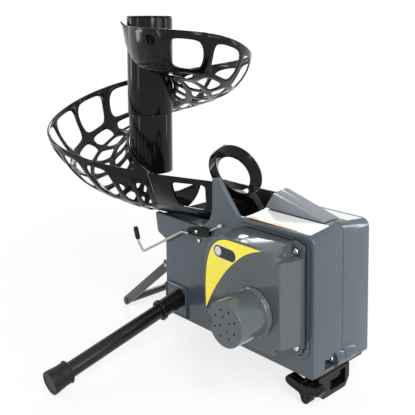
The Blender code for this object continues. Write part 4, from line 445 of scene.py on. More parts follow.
def tube(radius, low, high, wall):
    """The profile of a round tube, for turning."""
    return [(radius - wall, low), (radius, low), (radius, high), (radius - wall, high)]


def rod(start, end, radius, sides=32):
    length = (Vector(end) - Vector(start)).length
    return aim(turned(tube(radius, 0, length, radius), sides), start, end)


def across(x, z, y0, y1, radius, sides=32):
    """A round bar along Y."""
    return rod((x, y0, z), (x, y1, z), radius, sides)


def combine(shape, tools, operation):
    """Applies Booleans with helper shapes, which are used up."""
    for tool in tools:
        step = shape.modifiers.new(operation.lower(), "BOOLEAN")
        step.operation = operation
        step.object = tool
    settle(shape)
    for tool in tools:
        drop(tool)
    bm = bmesh.new()
    bm.from_mesh(shape.data)
    bmesh.ops.remove_doubles(bm, verts=bm.verts, dist=5e-6)
    bmesh.ops.dissolve_limit(bm, angle_limit=radians(0.1), verts=bm.verts, edges=bm.edges)
    bm.to_mesh(shape.data)
    bm.free()
    return shape


def settle(shape):
    """Turns an object's modifiers into plain mesh."""
    graph = bpy.context.evaluated_depsgraph_get()
    mesh = bpy.data.meshes.new_from_object(shape.evaluated_get(graph))
    shape.modifiers.clear()
    before = shape.data
    shape.data = mesh
    bpy.data.meshes.remove(before)
    return shape


def cut(shape, *tools):
    return combine(shape, tools, "DIFFERENCE")


def join(shape, *tools):
    return combine(shape, tools, "UNION")


def common(shape, tool):
    return combine(shape, (tool,), "INTERSECT")


def bevelled(shape, width=0.0005, segments=2, angle=40):
    """Rounds the sharp edges."""
    step = shape.modifiers.new("bevel", "BEVEL")
    step.width = width
    step.segments = segments
    step.limit_method = "ANGLE"
    step.angle_limit = radians(angle)
    step.harden_normals = False
    return settle(shape)


def refined(shape):
    step = shape.modifiers.new("subdivision", "SUBSURF")
    step.levels = 1
    step.render_levels = 1
    return settle(shape)


def merged(shapes):
    """Several shapes as one mesh, without a Boolean."""
    bm = bmesh.new()
    for shape in shapes:
        bm.from_mesh(shape.data)
    mesh = bpy.data.meshes.new("shape")
    bm.to_mesh(mesh)
    bm.free()
    for shape in shapes:
        drop(shape)
    return new_object("shape", mesh)


def monotone(table, at):
    """A smooth value between the stations of a table, without overshoot."""
    keys = [key for key, _ in table]
    values = [value for _, value in table]
    at = min(max(at, keys[0]), keys[-1])
    steps = [(v2 - v1) / (k2 - k1) for (k1, v1), (k2, v2) in zip(table, table[1:])]
    slopes = [steps[0]]
    for left, right in zip(steps, steps[1:]):
        slopes.append(0 if left * right <= 0 else 2 * left * right / (left + right))
    slopes.append(steps[-1])
    i = min(bisect.bisect_right(keys, at) - 1, len(steps) - 1)
    width = keys[i + 1] - keys[i]
    t = (at - keys[i]) / width
    return (values[i] * (1 + 2 * t) * (1 - t) ** 2 + values[i + 1] * t * t * (3 - 2 * t)
            + width * (slopes[i] * t * (1 - t) ** 2 + slopes[i + 1] * t * t * (t - 1)))


def finish(shape, name, body, finish_name, replaced=(), angle=35):
    """Names a piece, moves it from the end face's place to the model's, gives it its finish, hangs it on its
    body's empty and hides the imported pieces it replaces.
    """
    shape.data.transform(Matrix.Translation((END_FACE_X, 0, 0)))
    shape.name = name
    shape.data.name = name
    shape.data.materials.clear()
    shape.data.materials.append(bpy.data.materials[finish_name])
    shape.data.shade_smooth()
    shape.data.set_sharp_from_angle(angle=radians(angle))
    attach(shape, body)
    if replaced:
        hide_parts(*replaced)
    return shape


# Node trees


def feed(tree, node, values):
    """Sets a node's inputs, each to a value or to another node's output."""
    for key, value in values.items():
        if isinstance(value, bpy.types.NodeSocket):
            tree.links.new(value, node.inputs[key])
        else:
            node.inputs[key].default_value = value
    return node


def wire(tree, kind, values=None, **settings):
    """A new node with its settings and its inputs."""
    node = tree.nodes.new(kind)
    for key, value in settings.items():
        setattr(node, key, value)
    return feed(tree, node, values or {})


def maths(tree, operation, *values):
    return wire(tree, "ShaderNodeMath", dict(enumerate(values)), operation=operation).outputs[0]


def noise(tree, place, scale, detail=2.0, roughness=0.5):
    values = {"Vector": place, "Scale": scale, "Detail": detail, "Roughness": roughness}
    return wire(tree, "ShaderNodeTexNoise", values).outputs["Fac"]


def remapped(tree, value, low, high, start=0.0, end=1.0):
    """Maps a value between start and end to one between low and high."""
    values = {"Value": value, "From Min": start, "From Max": end, "To Min": low, "To Max": high}
    return wire(tree, "ShaderNodeMapRange", values).outputs[0]


def tinted(tree, colour, level):
    return wire(tree, "ShaderNodeVectorMath", {0: colour, "Scale": level}, operation="SCALE").outputs[0]


class Tree:
    """A geometry node tree with named inputs."""

    def __init__(self, name):
        self.tree = bpy.data.node_groups.new(name, "GeometryNodeTree")
        for way in ("INPUT", "OUTPUT"):
            self.tree.interface.new_socket("Geometry", in_out=way, socket_type="NodeSocketGeometry")
        self.start = self.tree.nodes.new("NodeGroupInput")

    def entry(self, name, default):
        """A named input for a size or a count."""
        kind = "NodeSocketInt" if isinstance(default, int) else "NodeSocketFloat"
        self.tree.interface.new_socket(name, in_out="INPUT", socket_type=kind).default_value = default
        return self.start.outputs[name]

    def close(self, geometry, finish_name):
        """Ends the tree in Realize Instances and Set Material."""
        real = wire(self.tree, "GeometryNodeRealizeInstances", {"Geometry": geometry})
        painted = wire(self.tree, "GeometryNodeSetMaterial", {
            "Geometry": real.outputs[0], "Material": bpy.data.materials[finish_name]})
        wire(self.tree, "NodeGroupOutput", {0: painted.outputs[0]})
        return self.tree


def grown(mesh_object, tree, sizes):
    """Applies a node tree to an object, with the sizes set by the sockets' identifiers."""
    step = mesh_object.modifiers.new("nodes", "NODES")
    step.node_group = tree
    for item in tree.interface.items_tree:
        if item.item_type == "SOCKET" and item.in_out == "INPUT" and item.name in sizes:
            step[item.identifier] = sizes[item.name]
    return settle(mesh_object)


def points_object(points, linked=False):
    """A mesh of loose points, or of edges from each to the next, for a node tree to build on."""
    edges = [(i, i + 1) for i in range(len(points) - 1)] if linked else []
    mesh = bpy.data.meshes.new("points")
    mesh.from_pydata([tuple(point) for point in points], edges, [])
    return new_object("points", mesh)


def bar_along(points, finish_name, radius, sides):
    """A round bar swept along a path of points."""
    bar = Tree("bar_along_path")
    radius_input, sides_input = bar.entry("Radius", 0.002), bar.entry("Sides", 16)
    line = wire(bar.tree, "GeometryNodeMeshToCurve", {"Mesh": bar.start.outputs["Geometry"]})
    circle = wire(bar.tree, "GeometryNodeCurvePrimitiveCircle", {
        "Resolution": sides_input, "Radius": radius_input})
    swept = wire(bar.tree, "GeometryNodeCurveToMesh", {
        "Curve": line.outputs[0], "Profile Curve": circle.outputs[0], "Fill Caps": True})
    tree = bar.close(swept.outputs[0], finish_name)
    return grown(points_object(points, linked=True), tree, {"Radius": radius, "Sides": sides})


def copies_tree(template, finish_name):
    """A tree that stands a copy of the template on every point."""
    copies = Tree(f"{template.name}_on_points")
    source = wire(copies.tree, "GeometryNodeObjectInfo", {"Object": template})
    stood = wire(copies.tree, "GeometryNodeInstanceOnPoints", {
        "Points": copies.start.outputs["Geometry"], "Instance": source.outputs["Geometry"],
        "Scale": copies.entry("Scale", 1.0)})
    return copies.close(stood.outputs[0], finish_name)


# Finishes


class Paint:
    """A material built round its Principled shader, with its pattern fixed to the object."""

    def __init__(self, name, colour, roughness, metallic=0.0, specular=0.5):
        self.material = bpy.data.materials.new(name)
        self.material.use_nodes = True
        self.tree = self.material.node_tree
        self.shader = feed(self.tree, self.tree.nodes["Principled BSDF"], {
            "Base Color": (*colour, 1), "Roughness": roughness, "Metallic": metallic,
            "Specular IOR Level": specular})
        self.place = self.tree.nodes.new("ShaderNodeTexCoord").outputs["Object"]

    def surface(self, colour, height, depth, roughness=None):
        """Feeds the shader's colour, its bump and, where one is given, its roughness."""
        bump = wire(self.tree, "ShaderNodeBump", {"Height": height, "Distance": depth, "Strength": 1.0})
        feed(self.tree, self.shader, {"Base Color": colour, "Normal": bump.outputs["Normal"]})
        if roughness is not None:
            feed(self.tree, self.shader, {"Roughness": roughness})

    def effect(self, group_name, values, depth):
        """Feeds the shader from an effect group."""
        group = wire(self.tree, "ShaderNodeGroup", {"Place": self.place, **values},
                     node_tree=bpy.data.node_groups[group_name])
        self.surface(group.outputs["Colour"], group.outputs["Height"], depth, group.outputs["Roughness"])


def effect_group(name, inputs):
    """A shader group that takes a place and named inputs, and gives a colour, a roughness and a height."""
    tree = bpy.data.node_groups.new(name, "ShaderNodeTree")
    kinds = {1: "NodeSocketFloat", 3: "NodeSocketVector", 4: "NodeSocketColor"}
    for label, default in {"Place": (0, 0, 0), **inputs}.items():
        kind = kinds[len(default) if isinstance(default, tuple) else 1]
        tree.interface.new_socket(label, in_out="INPUT", socket_type=kind).default_value = default
    for label, size in (("Colour", 4), ("Roughness", 1), ("Height", 1)):
        tree.interface.new_socket(label, in_out="OUTPUT", socket_type=kinds[size])
    return tree, tree.nodes.new("NodeGroupInput").outputs, tree.nodes.new("NodeGroupOutput")


def moulding_group():
    """Moulded plastic: fine grain, slow unevenness of colour and gloss, and faint rubs."""
    tree, given, end = effect_group("moulded_plastic", {
        "Colour": (0.1, 0.1, 0.1, 1), "Roughness": 0.4, "Grain Scale": 900.0, "Unevenness": 0.08,
        "Rubs": 0.2})
    slow = maths(tree, "SUBTRACT", noise(tree, given["Place"], 9.0, 3.0), 0.5)
    drift = maths(tree, "MULTIPLY", slow, given["Unevenness"])
    streaks = wire(tree, "ShaderNodeMapping", {
        "Vector": given["Place"], "Scale": (60.0, 60.0, 9.0), "Rotation": (0.4, 0.7, 0.2)})
    rubs = remapped(tree, noise(tree, streaks.outputs[0], 1.0, 8.0, 0.75), 0.0, 1.0, 0.60, 0.78)
    rubbed = maths(tree, "MULTIPLY", rubs, given["Rubs"])
    rough = maths(tree, "MULTIPLY_ADD", rubbed, 0.25, given["Roughness"])
    feed(tree, end, {
        "Colour": tinted(tree, given["Colour"], maths(tree, "MULTIPLY_ADD", drift, 2.0, 1.0)),
        "Roughness": maths(tree, "ADD", drift, rough),
        "Height": noise(tree, given["Place"], given["Grain Scale"], 3.0, 0.6)})


def metal_group():
    """Plated or drawn metal: fine scratches along one way and cloudy gloss."""
    tree, given, end = effect_group("drawn_metal", {
        "Colour": (0.6, 0.6, 0.6, 1), "Roughness": 0.25, "Stretch": (200.0, 2000.0, 2000.0)})
    stretched = wire(tree, "ShaderNodeVectorMath", {0: given["Place"], 1: given["Stretch"]},
                     operation="MULTIPLY")
    lines = noise(tree, stretched.outputs[0], 1.0, 4.0)
    cloud = remapped(tree, noise(tree, given["Place"], 60.0), 0.85, 1.12)
    feed(tree, end, {
        "Colour": tinted(tree, given["Colour"], cloud),
        "Roughness": maths(tree, "MULTIPLY_ADD", lines, 0.2, given["Roughness"]),
        "Height": lines})


def moulded(name, colour, roughness, grain=900.0, depth=0.00004, uneven=0.08, rubs=0.2, specular=0.5):
    Paint(name, colour, roughness, specular=specular).effect("moulded_plastic", {
        "Colour": (*colour, 1), "Roughness": roughness, "Grain Scale": grain, "Unevenness": uneven,
        "Rubs": rubs}, depth)


def metallic(name, colour, roughness, stretch=(200.0, 2000.0, 2000.0)):
    Paint(name, colour, roughness, metallic=1.0).effect("drawn_metal", {
        "Colour": (*colour, 1), "Roughness": roughness, "Stretch": stretch}, 0.00001)


def label_finish():
    """White film with a faint paper tone."""
    paint = Paint("label_film", (0.8, 0.8, 0.8), 0.35)
    tone = noise(paint.tree, paint.place, 300.0)
    paint.surface(remapped(paint.tree, tone, 0.66, 0.76), tone, 0.00001)


def cell_finish():
    """A cell's plain jacket: a dark band at one end over a copper-coloured body."""
    paint = Paint("cell_wrap", (0.70, 0.42, 0.12), 0.3, metallic=0.4)
    split = wire(paint.tree, "ShaderNodeSeparateXYZ", {0: paint.place})
    wave = maths(paint.tree, "PINGPONG", split.outputs["X"], 0.0611)
    mixed = wire(paint.tree, "ShaderNodeMix", {
        "Factor": remapped(paint.tree, wave, 0.0, 1.0, 0.036, 0.0365), "A": (0.02, 0.02, 0.022, 1),
        "B": (0.62, 0.36, 0.10, 1)}, data_type="RGBA")
    grain = noise(paint.tree, paint.place, 400.0)
    paint.surface(mixed.outputs["Result"], grain, 0.00001, remapped(paint.tree, grain, 0.24, 0.38))


def board_finish():
    """Green solder mask with paler tracks."""
    paint = Paint("circuit_board", (0.02, 0.12, 0.05), 0.35)
    bricks = wire(paint.tree, "ShaderNodeTexBrick", {
        "Vector": paint.place, "Color1": (0.02, 0.13, 0.05, 1), "Color2": (0.025, 0.16, 0.06, 1),
        "Mortar": (0.06, 0.26, 0.10, 1), "Scale": 60.0, "Mortar Size": 0.03})
    paint.surface(bricks.outputs["Color"], bricks.outputs["Fac"], 0.00003)


class TOSS_OT_finishes(bpy.types.Operator):
    """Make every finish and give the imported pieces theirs"""

    bl_idname = "toss.finishes"
    bl_label = "Finishes"

    def execute(self, context):
        colours = context.scene.toss_finish
        film = {"grain": 700.0, "depth": 0.000005}
        moulding_group()
        metal_group()
        moulded("shell_plastic", colours.shell, 0.14, grain=1100.0, depth=0.000006, rubs=0.1)
        moulded("cover_plastic", colours.cover, 0.11, grain=1100.0, depth=0.000004, rubs=0.1)
        moulded("polished_black", colours.black, 0.13, grain=260.0, depth=0.000008, uneven=0.05, rubs=0.12,
                specular=0.2)
        moulded("satin_moulding", (0.006, 0.006, 0.007), 0.26, grain=1400.0, depth=0.00002, specular=0.24)
        moulded("black_paint", (0.006, 0.006, 0.007), 0.2, grain=700.0, depth=0.00001, specular=0.3)
        moulded("black_rubber", (0.010, 0.010, 0.011), 0.5, grain=1700.0, depth=0.00006, specular=0.2)
        moulded("groove_shadow", (0.015, 0.017, 0.018), 0.7, specular=0.2)
        moulded("ridge_plastic", colours.ridge, 0.24, grain=1100.0, depth=0.00002)
        moulded("gear_plastic", (0.78, 0.76, 0.70), 0.4, depth=0.00003)
        moulded("strap_paint", (0.050, 0.045, 0.041), 0.38, depth=0.00003)
        moulded("sticker_film", colours.sticker, 0.25, uneven=0.03, rubs=0.05, **film)
        moulded("sticker_edge", (0.012, 0.012, 0.013), 0.3, **film)
        moulded("orange_film", (0.85, 0.25, 0.04), 0.35, **film)
        moulded("pill_film", (0.005, 0.005, 0.006), 0.25, **film)
        moulded("grey_film", (0.62, 0.63, 0.64), 0.35, **film)
        metallic("bright_screw", (0.72, 0.72, 0.71), 0.18)
        metallic("bright_wire", (0.36, 0.35, 0.32), 0.22, stretch=(100.0, 1500.0, 1500.0))
        metallic("dull_steel", (0.42, 0.42, 0.43), 0.32)
        label_finish()
        cell_finish()
        board_finish()
        shown = {
            "shell_grey": "shell_plastic", "cover_grey": "cover_plastic", "gloss_black": "polished_black",
            "satin_black": "satin_moulding", "rubber": "black_rubber", "ridge_grey": "ridge_plastic",
            "steel": "dull_steel", "motor_can": "dull_steel", "strap_steel": "strap_paint",
            "gear_white": "gear_plastic", "circuit_green": "circuit_board", "cell_jacket": "cell_wrap",
        }
        slots = {entry["node"]: entry["material_slot"] for entry in frame["record"]["subparts"]}
        for node, thing in frame["nodes"].items():
            thing.data.materials.clear()
            thing.data.materials.append(bpy.data.materials[shown[slots[node]]])
        return {"FINISHED"}


# Column and ramp


def section(rim_radius, rim_z, seat_radius, seat_z, floor_z, fullness, v):
    """A point (radius, height) on a trough's skin; v is 0 at the rim, 1 at the bottom and 2 at the seat."""
    floor_radius = seat_radius + (rim_radius - seat_radius) * FLOOR_SHARE
    turn = radians(90 * (v if v <= 1 else v - 1))
    if v <= 1:
        return (floor_radius + (rim_radius - floor_radius) * max(cos(turn), 0) ** (2 / fullness),
                rim_z - (rim_z - floor_z) * sin(turn) ** (2 / fullness))
    return (floor_radius - (floor_radius - seat_radius) * sin(turn) ** (2 / SEAT_FULLNESS),
            floor_z + (seat_z - floor_z) * (1 - max(cos(turn), 0) ** (2 / SEAT_FULLNESS)))


def rim_radius_at(turn):
    return RAMP_START_RADIUS + (RAMP_RADIUS - RAMP_START_RADIUS) * monotone(SPREAD, turn)


def ramp_surface(seat_radius):
    """The ramp's outer skin as a function of the angle round the column and of v."""

    def point(angle, v):
        turn = angle + RAMP_LEAN * min(v / ROWS[1], 1)
        rim_z = RAMP_TOP_Z - (RAMP_TOP_Z - RAMP_EXIT_Z) * monotone(DROP, turn)
        floor_z = rim_z - RAMP_DEPTH * monotone(DEPTH, turn)
        seat_z = max(rim_z - monotone(SEAT_DROP, turn), floor_z + 0.001)
        radius, z = section(rim_radius_at(turn), rim_z, seat_radius, seat_z, floor_z,
                            monotone(FULLNESS, turn), v)
        return Vector((COLUMN_X + radius * cos(radians(turn)), radius * sin(radians(turn)), z))

    return point


def normal_at(surface, a, v, a_step=0.5, v_step=0.01):
    """The skin's normal, pointing into the trough."""
    v0, v1 = max(v - v_step, 0), min(v + v_step, 2)
    along = surface(a + a_step, v) - surface(a - a_step, v)
    down = surface(a, v1) - surface(a, v0)
    return along.cross(down).normalized()


def rounded_share(s, t, power=4.0):
    """Moves a point on a square's edge to a rounded square's edge."""
    reach = (abs(s) ** power + abs(t) ** power) ** (1 / power)
    return s / reach, t / reach


def station(k, count):
    """The k-th of evenly spaced places from -1 to 1."""
    return -1 + 2 * k / count


def lattice(surface, columns, rows, wall, window, across_count, along_counts):
    """A curved skin of one tile per column and row. window(i, j) gives the (left, right, top, bottom)
    shares of a tile that stay solid round its rounded window, or None for a solid tile. wall(a, v) is the
    skin's thickness."""
    bm = bmesh.new()
    crease = bm.edges.layers.float.new("crease_edge")
    made = {}

    def pair(a, v):
        """The outer and inner vertex at a place on the skin."""
        key = (round(a, 5), round(v, 5))
        if key not in made:
            outer = surface(a, v)
            made[key] = (bm.verts.new(outer), bm.verts.new(outer + normal_at(surface, a, v) * wall(a, v)))
        return made[key]

    def quad(corners):
        pairs = [pair(*corner) for corner in corners]
        bm.faces.new([p[0] for p in pairs])
        bm.faces.new([p[1] for p in reversed(pairs)])

    def side(first, second):
        a, b = pair(*first), pair(*second)
        bm.faces.new((a[0], a[1], b[1], b[0]))

    for i, (a0, a1) in enumerate(zip(columns, columns[1:])):
        for j, (v0, v1) in enumerate(zip(rows, rows[1:])):
            n, m = across_count, along_counts[j]
            ring = [(station(k, n), -1) for k in range(n)] + [(1, station(k, m)) for k in range(m)]
            ring += [(-s, -t) for s, t in ring]

            def place(s, t):
                return (a0 + (a1 - a0) * (s + 1) / 2, v0 + (v1 - v0) * (t + 1) / 2)

            margins = window(i, j)
            if margins is None:
                for p in range(n):
                    for q in range(m):
                        s0, s1, t0, t1 = station(p, n), station(p + 1, n), station(q, m), station(q + 1, m)
                        quad([place(s0, t0), place(s0, t1), place(s1, t1), place(s1, t0)])
            else:
                left, right, top, bottom = margins
                hole = []
                for s, t in ring:
                    u, w = rounded_share(s, t)
                    hole.append(place(-1 + 2 * left + (u + 1) * (1 - left - right),
                                      -1 + 2 * top + (w + 1) * (1 - top - bottom)))
                outer = [place(s, t) for s, t in ring]
                for k in range(len(ring)):
                    following = (k + 1) % len(ring)
                    quad([outer[k], hole[k], hole[following], outer[following]])
                    side(hole[k], hole[following])
            for s, at_end in ((-1, i == 0), (1, i == len(columns) - 2)):
                for k in range(m if at_end else 0):
                    side(place(s, station(k, m)), place(s, station(k + 1, m)))
            for t, at_end in ((-1, j == 0), (1, j == len(rows) - 2)):
                for k in range(n if at_end else 0):
                    side(place(station(k, n), t), place(station(k + 1, n), t))
    limits = (round(columns[0], 5), round(columns[-1], 5))
    ends = {vert for (a, v), both in made.items() if a in limits for vert in both}
    for edge in bm.edges:
        if edge.verts[0] in ends and edge.verts[1] in ends:
            edge[crease] = 1.0
    return solid(bm)


class TOSS_OT_ramp(bpy.types.Operator):
    """Build the openwork ball ramp in its three mouldings, with a bead along the rim"""

    bl_idname = "toss.ramp"
    bl_label = "Ball ramp"

    def execute(self, context):
        sizes = context.scene.toss_shape

        def wall(a, v):
            return min(sizes.ramp_wall, (rim_radius_at(a) - UPPER_TUBE_RADIUS) * 0.3)

        whole = ramp_surface(UPPER_TUBE_RADIUS)

        def windows(posts, special):
            def window(i, j):
                if (i, j) in special or j == len(ROWS) - 2:
                    return special.get((i, j))
                middle = (ROWS[j] + ROWS[j + 1]) / 2
                width = (whole(posts[i + 1], middle) - whole(posts[i], middle)).length
                height = (whole(posts[i], ROWS[j + 1]) - whole(posts[i], ROWS[j])).length
                bars = [sizes.joint_bar if end else sizes.ramp_bar for end in (i == 0, i == len(posts) - 2)]
                left, right = (min(bar / 2 / width, LARGEST_BAR_SHARE) for bar in bars)
                above = min(sizes.ramp_bar / 2 / height, LARGEST_BAR_SHARE)
                return (left, right, RIM_SHARE / ROWS[1] if j == 0 else above, above)
            return window

        start_tiles = {(i, j): SLOT_TILE.get((i, j)) for i in range(4) for j in range(len(ROWS))}
        parts = (("ramp_upper", UPPER_POSTS, UPPER_TUBE_RADIUS, start_tiles),
                 ("ramp_middle", MIDDLE_POSTS, UPPER_TUBE_RADIUS, {}),
                 ("ramp_lower", LOWER_POSTS, LOWER_TUBE_RADIUS, END_TILES))
        for name, posts, seat, special in parts:
            columns = posts[:-1] + [posts[-1] - MOULDING_GAP]
            surface = ramp_surface(seat + GAP)
            shape = lattice(surface, columns, ROWS, wall, windows(columns, special), 8, (4, 3, 3, 3, 2))
            shape = refined(shape)
            finish(shape, f"{name}_moulding", "feeder", "polished_black", (name,), 50)
            steps = int((columns[-1] - columns[0]) / DEGREES_PER_RIM_STEP)
            rim = []
            for k in range(steps + 1):
                a = columns[0] + (columns[-1] - columns[0]) * k / steps
                inwards = normal_at(surface, a, 0) * (wall(a, 0) * 0.4 + 0.0016)
                rim.append(surface(a, 0) + inwards - Vector((0, 0, sizes.rim_bead * 0.8)))
            bead = bar_along(rim, "polished_black", sizes.rim_bead, 12)
            finish(bead, f"{name}_rim", "feeder", "polished_black", (), 60)
        return {"FINISHED"}


class TOSS_OT_column(bpy.types.Operator):
    """Build the column's two tubes and its cap"""

    bl_idname = "toss.column"
    bl_label = "Column"

    def execute(self, context):
        wide = UPPER_TUBE_RADIUS
        lip = COLUMN_TOP_Z - 0.0025
        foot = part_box("column_lower")[0].z
        lower = tube(LOWER_TUBE_RADIUS, foot, COLUMN_SEAM_Z - 0.0002, COLUMN_WALL)
        upper = tube(wide, COLUMN_SEAM_Z, lip - 0.0004, COLUMN_WALL)
        cap = [(0, lip - 0.006), (wide - 0.0035, lip - 0.006), (wide - 0.0035, lip), (wide, lip),
               (wide, COLUMN_TOP_Z), (wide - 0.004, COLUMN_TOP_Z), (wide - 0.0048, COLUMN_TOP_Z - 0.0008),
               (0, COLUMN_TOP_Z - 0.0008)]
        for name, profile, node in (("lower_tube", lower, "column_lower"),
                                    ("upper_tube", upper, "column_upper"), ("tube_cap", cap, "column_cap")):
            shape = turned(softened(profile, 0.0009), 96)
            shape.data.transform(Matrix.Translation((COLUMN_X, 0, 0)))
            finish(shape, name, "feeder", "polished_black", (node,))
        return {"FINISHED"}


class TOSS_OT_chute(bpy.types.Operator):
    """Build the exit chute with the window in its near wall"""

    bl_idname = "toss.chute"
    bl_label = "Exit chute"

    def execute(self, context):
        start = ramp_surface(LOWER_TUBE_RADIUS + GAP)
        end_x = EAR_LEFT_X - CHUTE_FIT
        width = CHUTE_FAR_Y - CHUTE_NEAR_Y
        first_floor, first_top = (start(LOWER_POSTS[-1], v).z for v in (1, 2))

        def surface(s, v):
            share = min(max(s, 0.0), 1.0)
            first = start(LOWER_POSTS[-1], v)
            offset, z = section(width, CHUTE_END_Z, 0, CHUTE_FAR_TOP_Z, CHUTE_FLOOR_Z, 4.0, v)
            last = Vector((end_x, CHUTE_FAR_Y - offset, z))
            place = first.lerp(last, share) + (last - first) * (s - share)
            if v > 1:
                place.z -= monotone(CHUTE_DIP, share) * (first.z - first_floor) / (first_top - first_floor)
            return place

        chute = refined(lattice(surface, CHUTE_COLUMNS, CHUTE_ROWS, lambda a, v: CHUTE_WALL,
                                lambda i, j: None, 2, (2,) * (len(CHUTE_ROWS) - 1)))
        ledge = LEDGE_Z + CHUTE_FIT
        left = -HOUSING_LENGTH - LEDGE_REACH - 0.001
        right, low, high = EAR_LEFT_X + 0.05, LEDGE_Z - 0.05, CHUTE_END_Z + 0.1
        corner = prism(rounded([
            (end_x, high, 0), (end_x, ledge, CUTOUT_RADIUS), (left, ledge + 0.002, 0), (left, low, 0),
            (right, low, 0), (right, high, 0)], 12), -0.15, 0.10)
        swing = block(-0.293, EAR_LEFT_X + 0.02, -0.0472, HALF_WIDTH, CHUTE_FLOOR_Z - 0.02,
                      CHUTE_END_Z + 0.05)
        chute = cut(chute, corner, swing, prism(rounded(CHUTE_WINDOW), -0.13, -0.05))
        chute = bevelled(chute, 0.0006, 2, 45)
        finish(chute, "chute_moulding", "feeder", "polished_black", ("exit_chute",), 40)
        return {"FINISHED"}


# Housing


def side_outline(side):
    corner = 0.0036
    base = [(-HOUSING_LENGTH, BASE_Z, corner), (0, BASE_Z, corner), (0, SIDE_TOP_Z, 0.012)]
    if side == NEAR:
        top = [(EAR_FOOT_X, SIDE_TOP_Z - 0.002, 0.004),
               (EAR_LEFT_X + EAR_TOP_WIDTH, EAR_TOP_Z, corner),
               (EAR_LEFT_X, EAR_TOP_Z - 0.002, corner),
               (EAR_LEFT_X, LEDGE_Z, CUTOUT_RADIUS)]
    else:
        top = [(-HOUSING_LENGTH + 0.004, SIDE_TOP_Z, 0.006), (-HOUSING_LENGTH, LEDGE_Z + 0.002, 0.004)]
    left = -HOUSING_LENGTH - LEDGE_REACH
    ledge = [(left, LEDGE_Z + 0.002, corner), (left + 0.006, LEDGE_FOOT_Z + 0.008, 0.006),
             (-HOUSING_LENGTH, LEDGE_FOOT_Z, 0.003)]
    return rounded(base + top + ledge, 10)


def crowned(points):
    """Raises the top skin at the seam, right of the throat."""
    limit = THROAT_RIGHT_X - 0.02
    raised = []
    for x, y, z in points:
        share = max(0.0, min(1.0, (z - SIDE_TOP_Z + 0.012) / 0.009)) if x > limit else 0.0
        raised.append((x, y, z + CROWN * share))
    return raised


def half_shell(side, edge):
    """A hollow half of the housing, open at the seam plane, with its outer edge rounded over."""
    outline = side_outline(side)
    flat = side * HALF_WIDTH
    inner = inset(outline, WALL)
    return skin(round_over(outline, flat, side, edge) + [
        crowned(placed(outline, side * (SEAM_GAP + 0.0010))),
        crowned(placed(inset(outline, 0.0012), side * SEAM_GAP)),
        crowned(placed(inner, side * SEAM_GAP)),
        placed(inner, flat - side * WALL),
    ])


def leg_direction(side):
    return Vector((0, side * cos(radians(LEG_SLOPE)), -sin(radians(LEG_SLOPE))))


def leg_point(side, along):
    return Vector((LEG_X, side * HALF_WIDTH, LEG_START_Z)) + leg_direction(side) * along


def leg_bore(side):
    return rod(leg_point(side, -0.04), leg_point(side, 0.04), SOCKET_RADIUS + GAP, 48)


def leg_pad(side):
    """The low pad that a leg's socket comes out of, with a raised lip."""
    outline = rounded(LEG_PAD)
    face = side * (HALF_WIDTH + LEG_PAD_HEIGHT)
    lip = [(0.0024, 0.0016), (0.0021, 0.0002), (0.0018, 0), (0.0006, 0), (0.0001, 0.0005)]
    loops = [placed(inset(outline, inwards), face - side * depth) for inwards, depth in lip]
    return skin(loops + [placed(outline, side * (HALF_WIDTH - 0.001))])


def turned_boss(start, end):
    """One half of the boss on the end face, with its rims rounded over."""
    profile = softened(tube(BOSS_RADIUS, 0, end - start, BOSS_RADIUS), 0.0009)
    return aim(turned(profile), (BOSS_X, start, BOSS_Z), (BOSS_X, end, BOSS_Z))


def opening(node, gap, foot):
    """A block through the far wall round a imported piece."""
    low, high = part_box(node)
    left, right = low.x - END_FACE_X, high.x - END_FACE_X
    return block(left - gap, right + gap, *THROUGH_FAR_WALL, low.z + foot, high.z + gap)


def ribbon(path, half):
    """The outline of a strip along an open path."""
    left, right = [], []
    for i, point in enumerate(path):
        way = (Vector(path[min(i + 1, len(path) - 1)]) - Vector(path[max(i - 1, 0)])).normalized() * half
        left.append((point[0] - way.y, point[1] + way.x))
        right.append((point[0] + way.y, point[1] - way.x))
    return left + right[::-1]


def near_grooves():
    """The groove round the cover's foot and the one along the face's right and top edges."""
    low, high = -HALF_WIDTH - 0.01, -HALF_WIDTH + 0.0018
    foot = join(prism(cover_outline(0.0042), low, high),
                *(across(*place, low, high, lobe + 0.0022, 48) for place, lobe in COVER_SCREWS))
    return foot, prism(ribbon(rounded(FACE_GROOVE, 10), 0.0008), low, -HALF_WIDTH + 0.0012)


class TOSS_OT_housing(bpy.types.Operator):
    """Build the two halves of the housing"""

    bl_idname = "toss.housing"
    bl_label = "Housing"

    def execute(self, context):
        edge = context.scene.toss_shape.edge_radius
        throat = (-HOUSING_LENGTH - 2 * LEDGE_REACH, THROAT_RIGHT_X, -THROAT_HALF, THROAT_HALF,
                  LEDGE_Z - 0.0035, EAR_TOP_Z + 0.05)
        recess = common(across(BOSS_X, BOSS_Z, -0.040, -0.012, BOSS_RADIUS - 0.0015, 48),
                        block(-0.05, -0.0004, -0.05, 0, 0, 0.1))
        bore = across(BOSS_X, BOSS_Z, -0.0378, -0.0155, BOSS_RADIUS - 0.0035, 48)
        near = join(half_shell(NEAR, edge), turned_boss(BOSS_NEAR_END, -GAP), leg_pad(NEAR), recess)
        near = cut(near, block(*throat), *near_grooves(), bore, leg_bore(NEAR))
        finish(near, "near_half", "housing", "shell_plastic", ("near_shell",), 32)
        far = join(half_shell(FAR, edge), turned_boss(GAP, BOSS_FAR_END), leg_pad(FAR))
        far = cut(far, block(*throat), opening("battery_door", 0.0005, 0.0036),
                  opening("power_switch", 0.003, -0.003), leg_bore(FAR))
        finish(far, "far_half", "housing", "shell_plastic", ("far_shell",), 32)
        return {"FINISHED"}


# Gearbox cover, sticker and motor cap


def cover_outline(grow):
    left, right = COVER_LEFT_X - grow, COVER_RIGHT_X + grow
    low, high = COVER_BOTTOM_Z - grow, COVER_TOP_Z + grow
    return rounded([(left, low, 0.042), (right, low, 0.004), (right, high, 0.004), (left, high, 0.042)], 12)


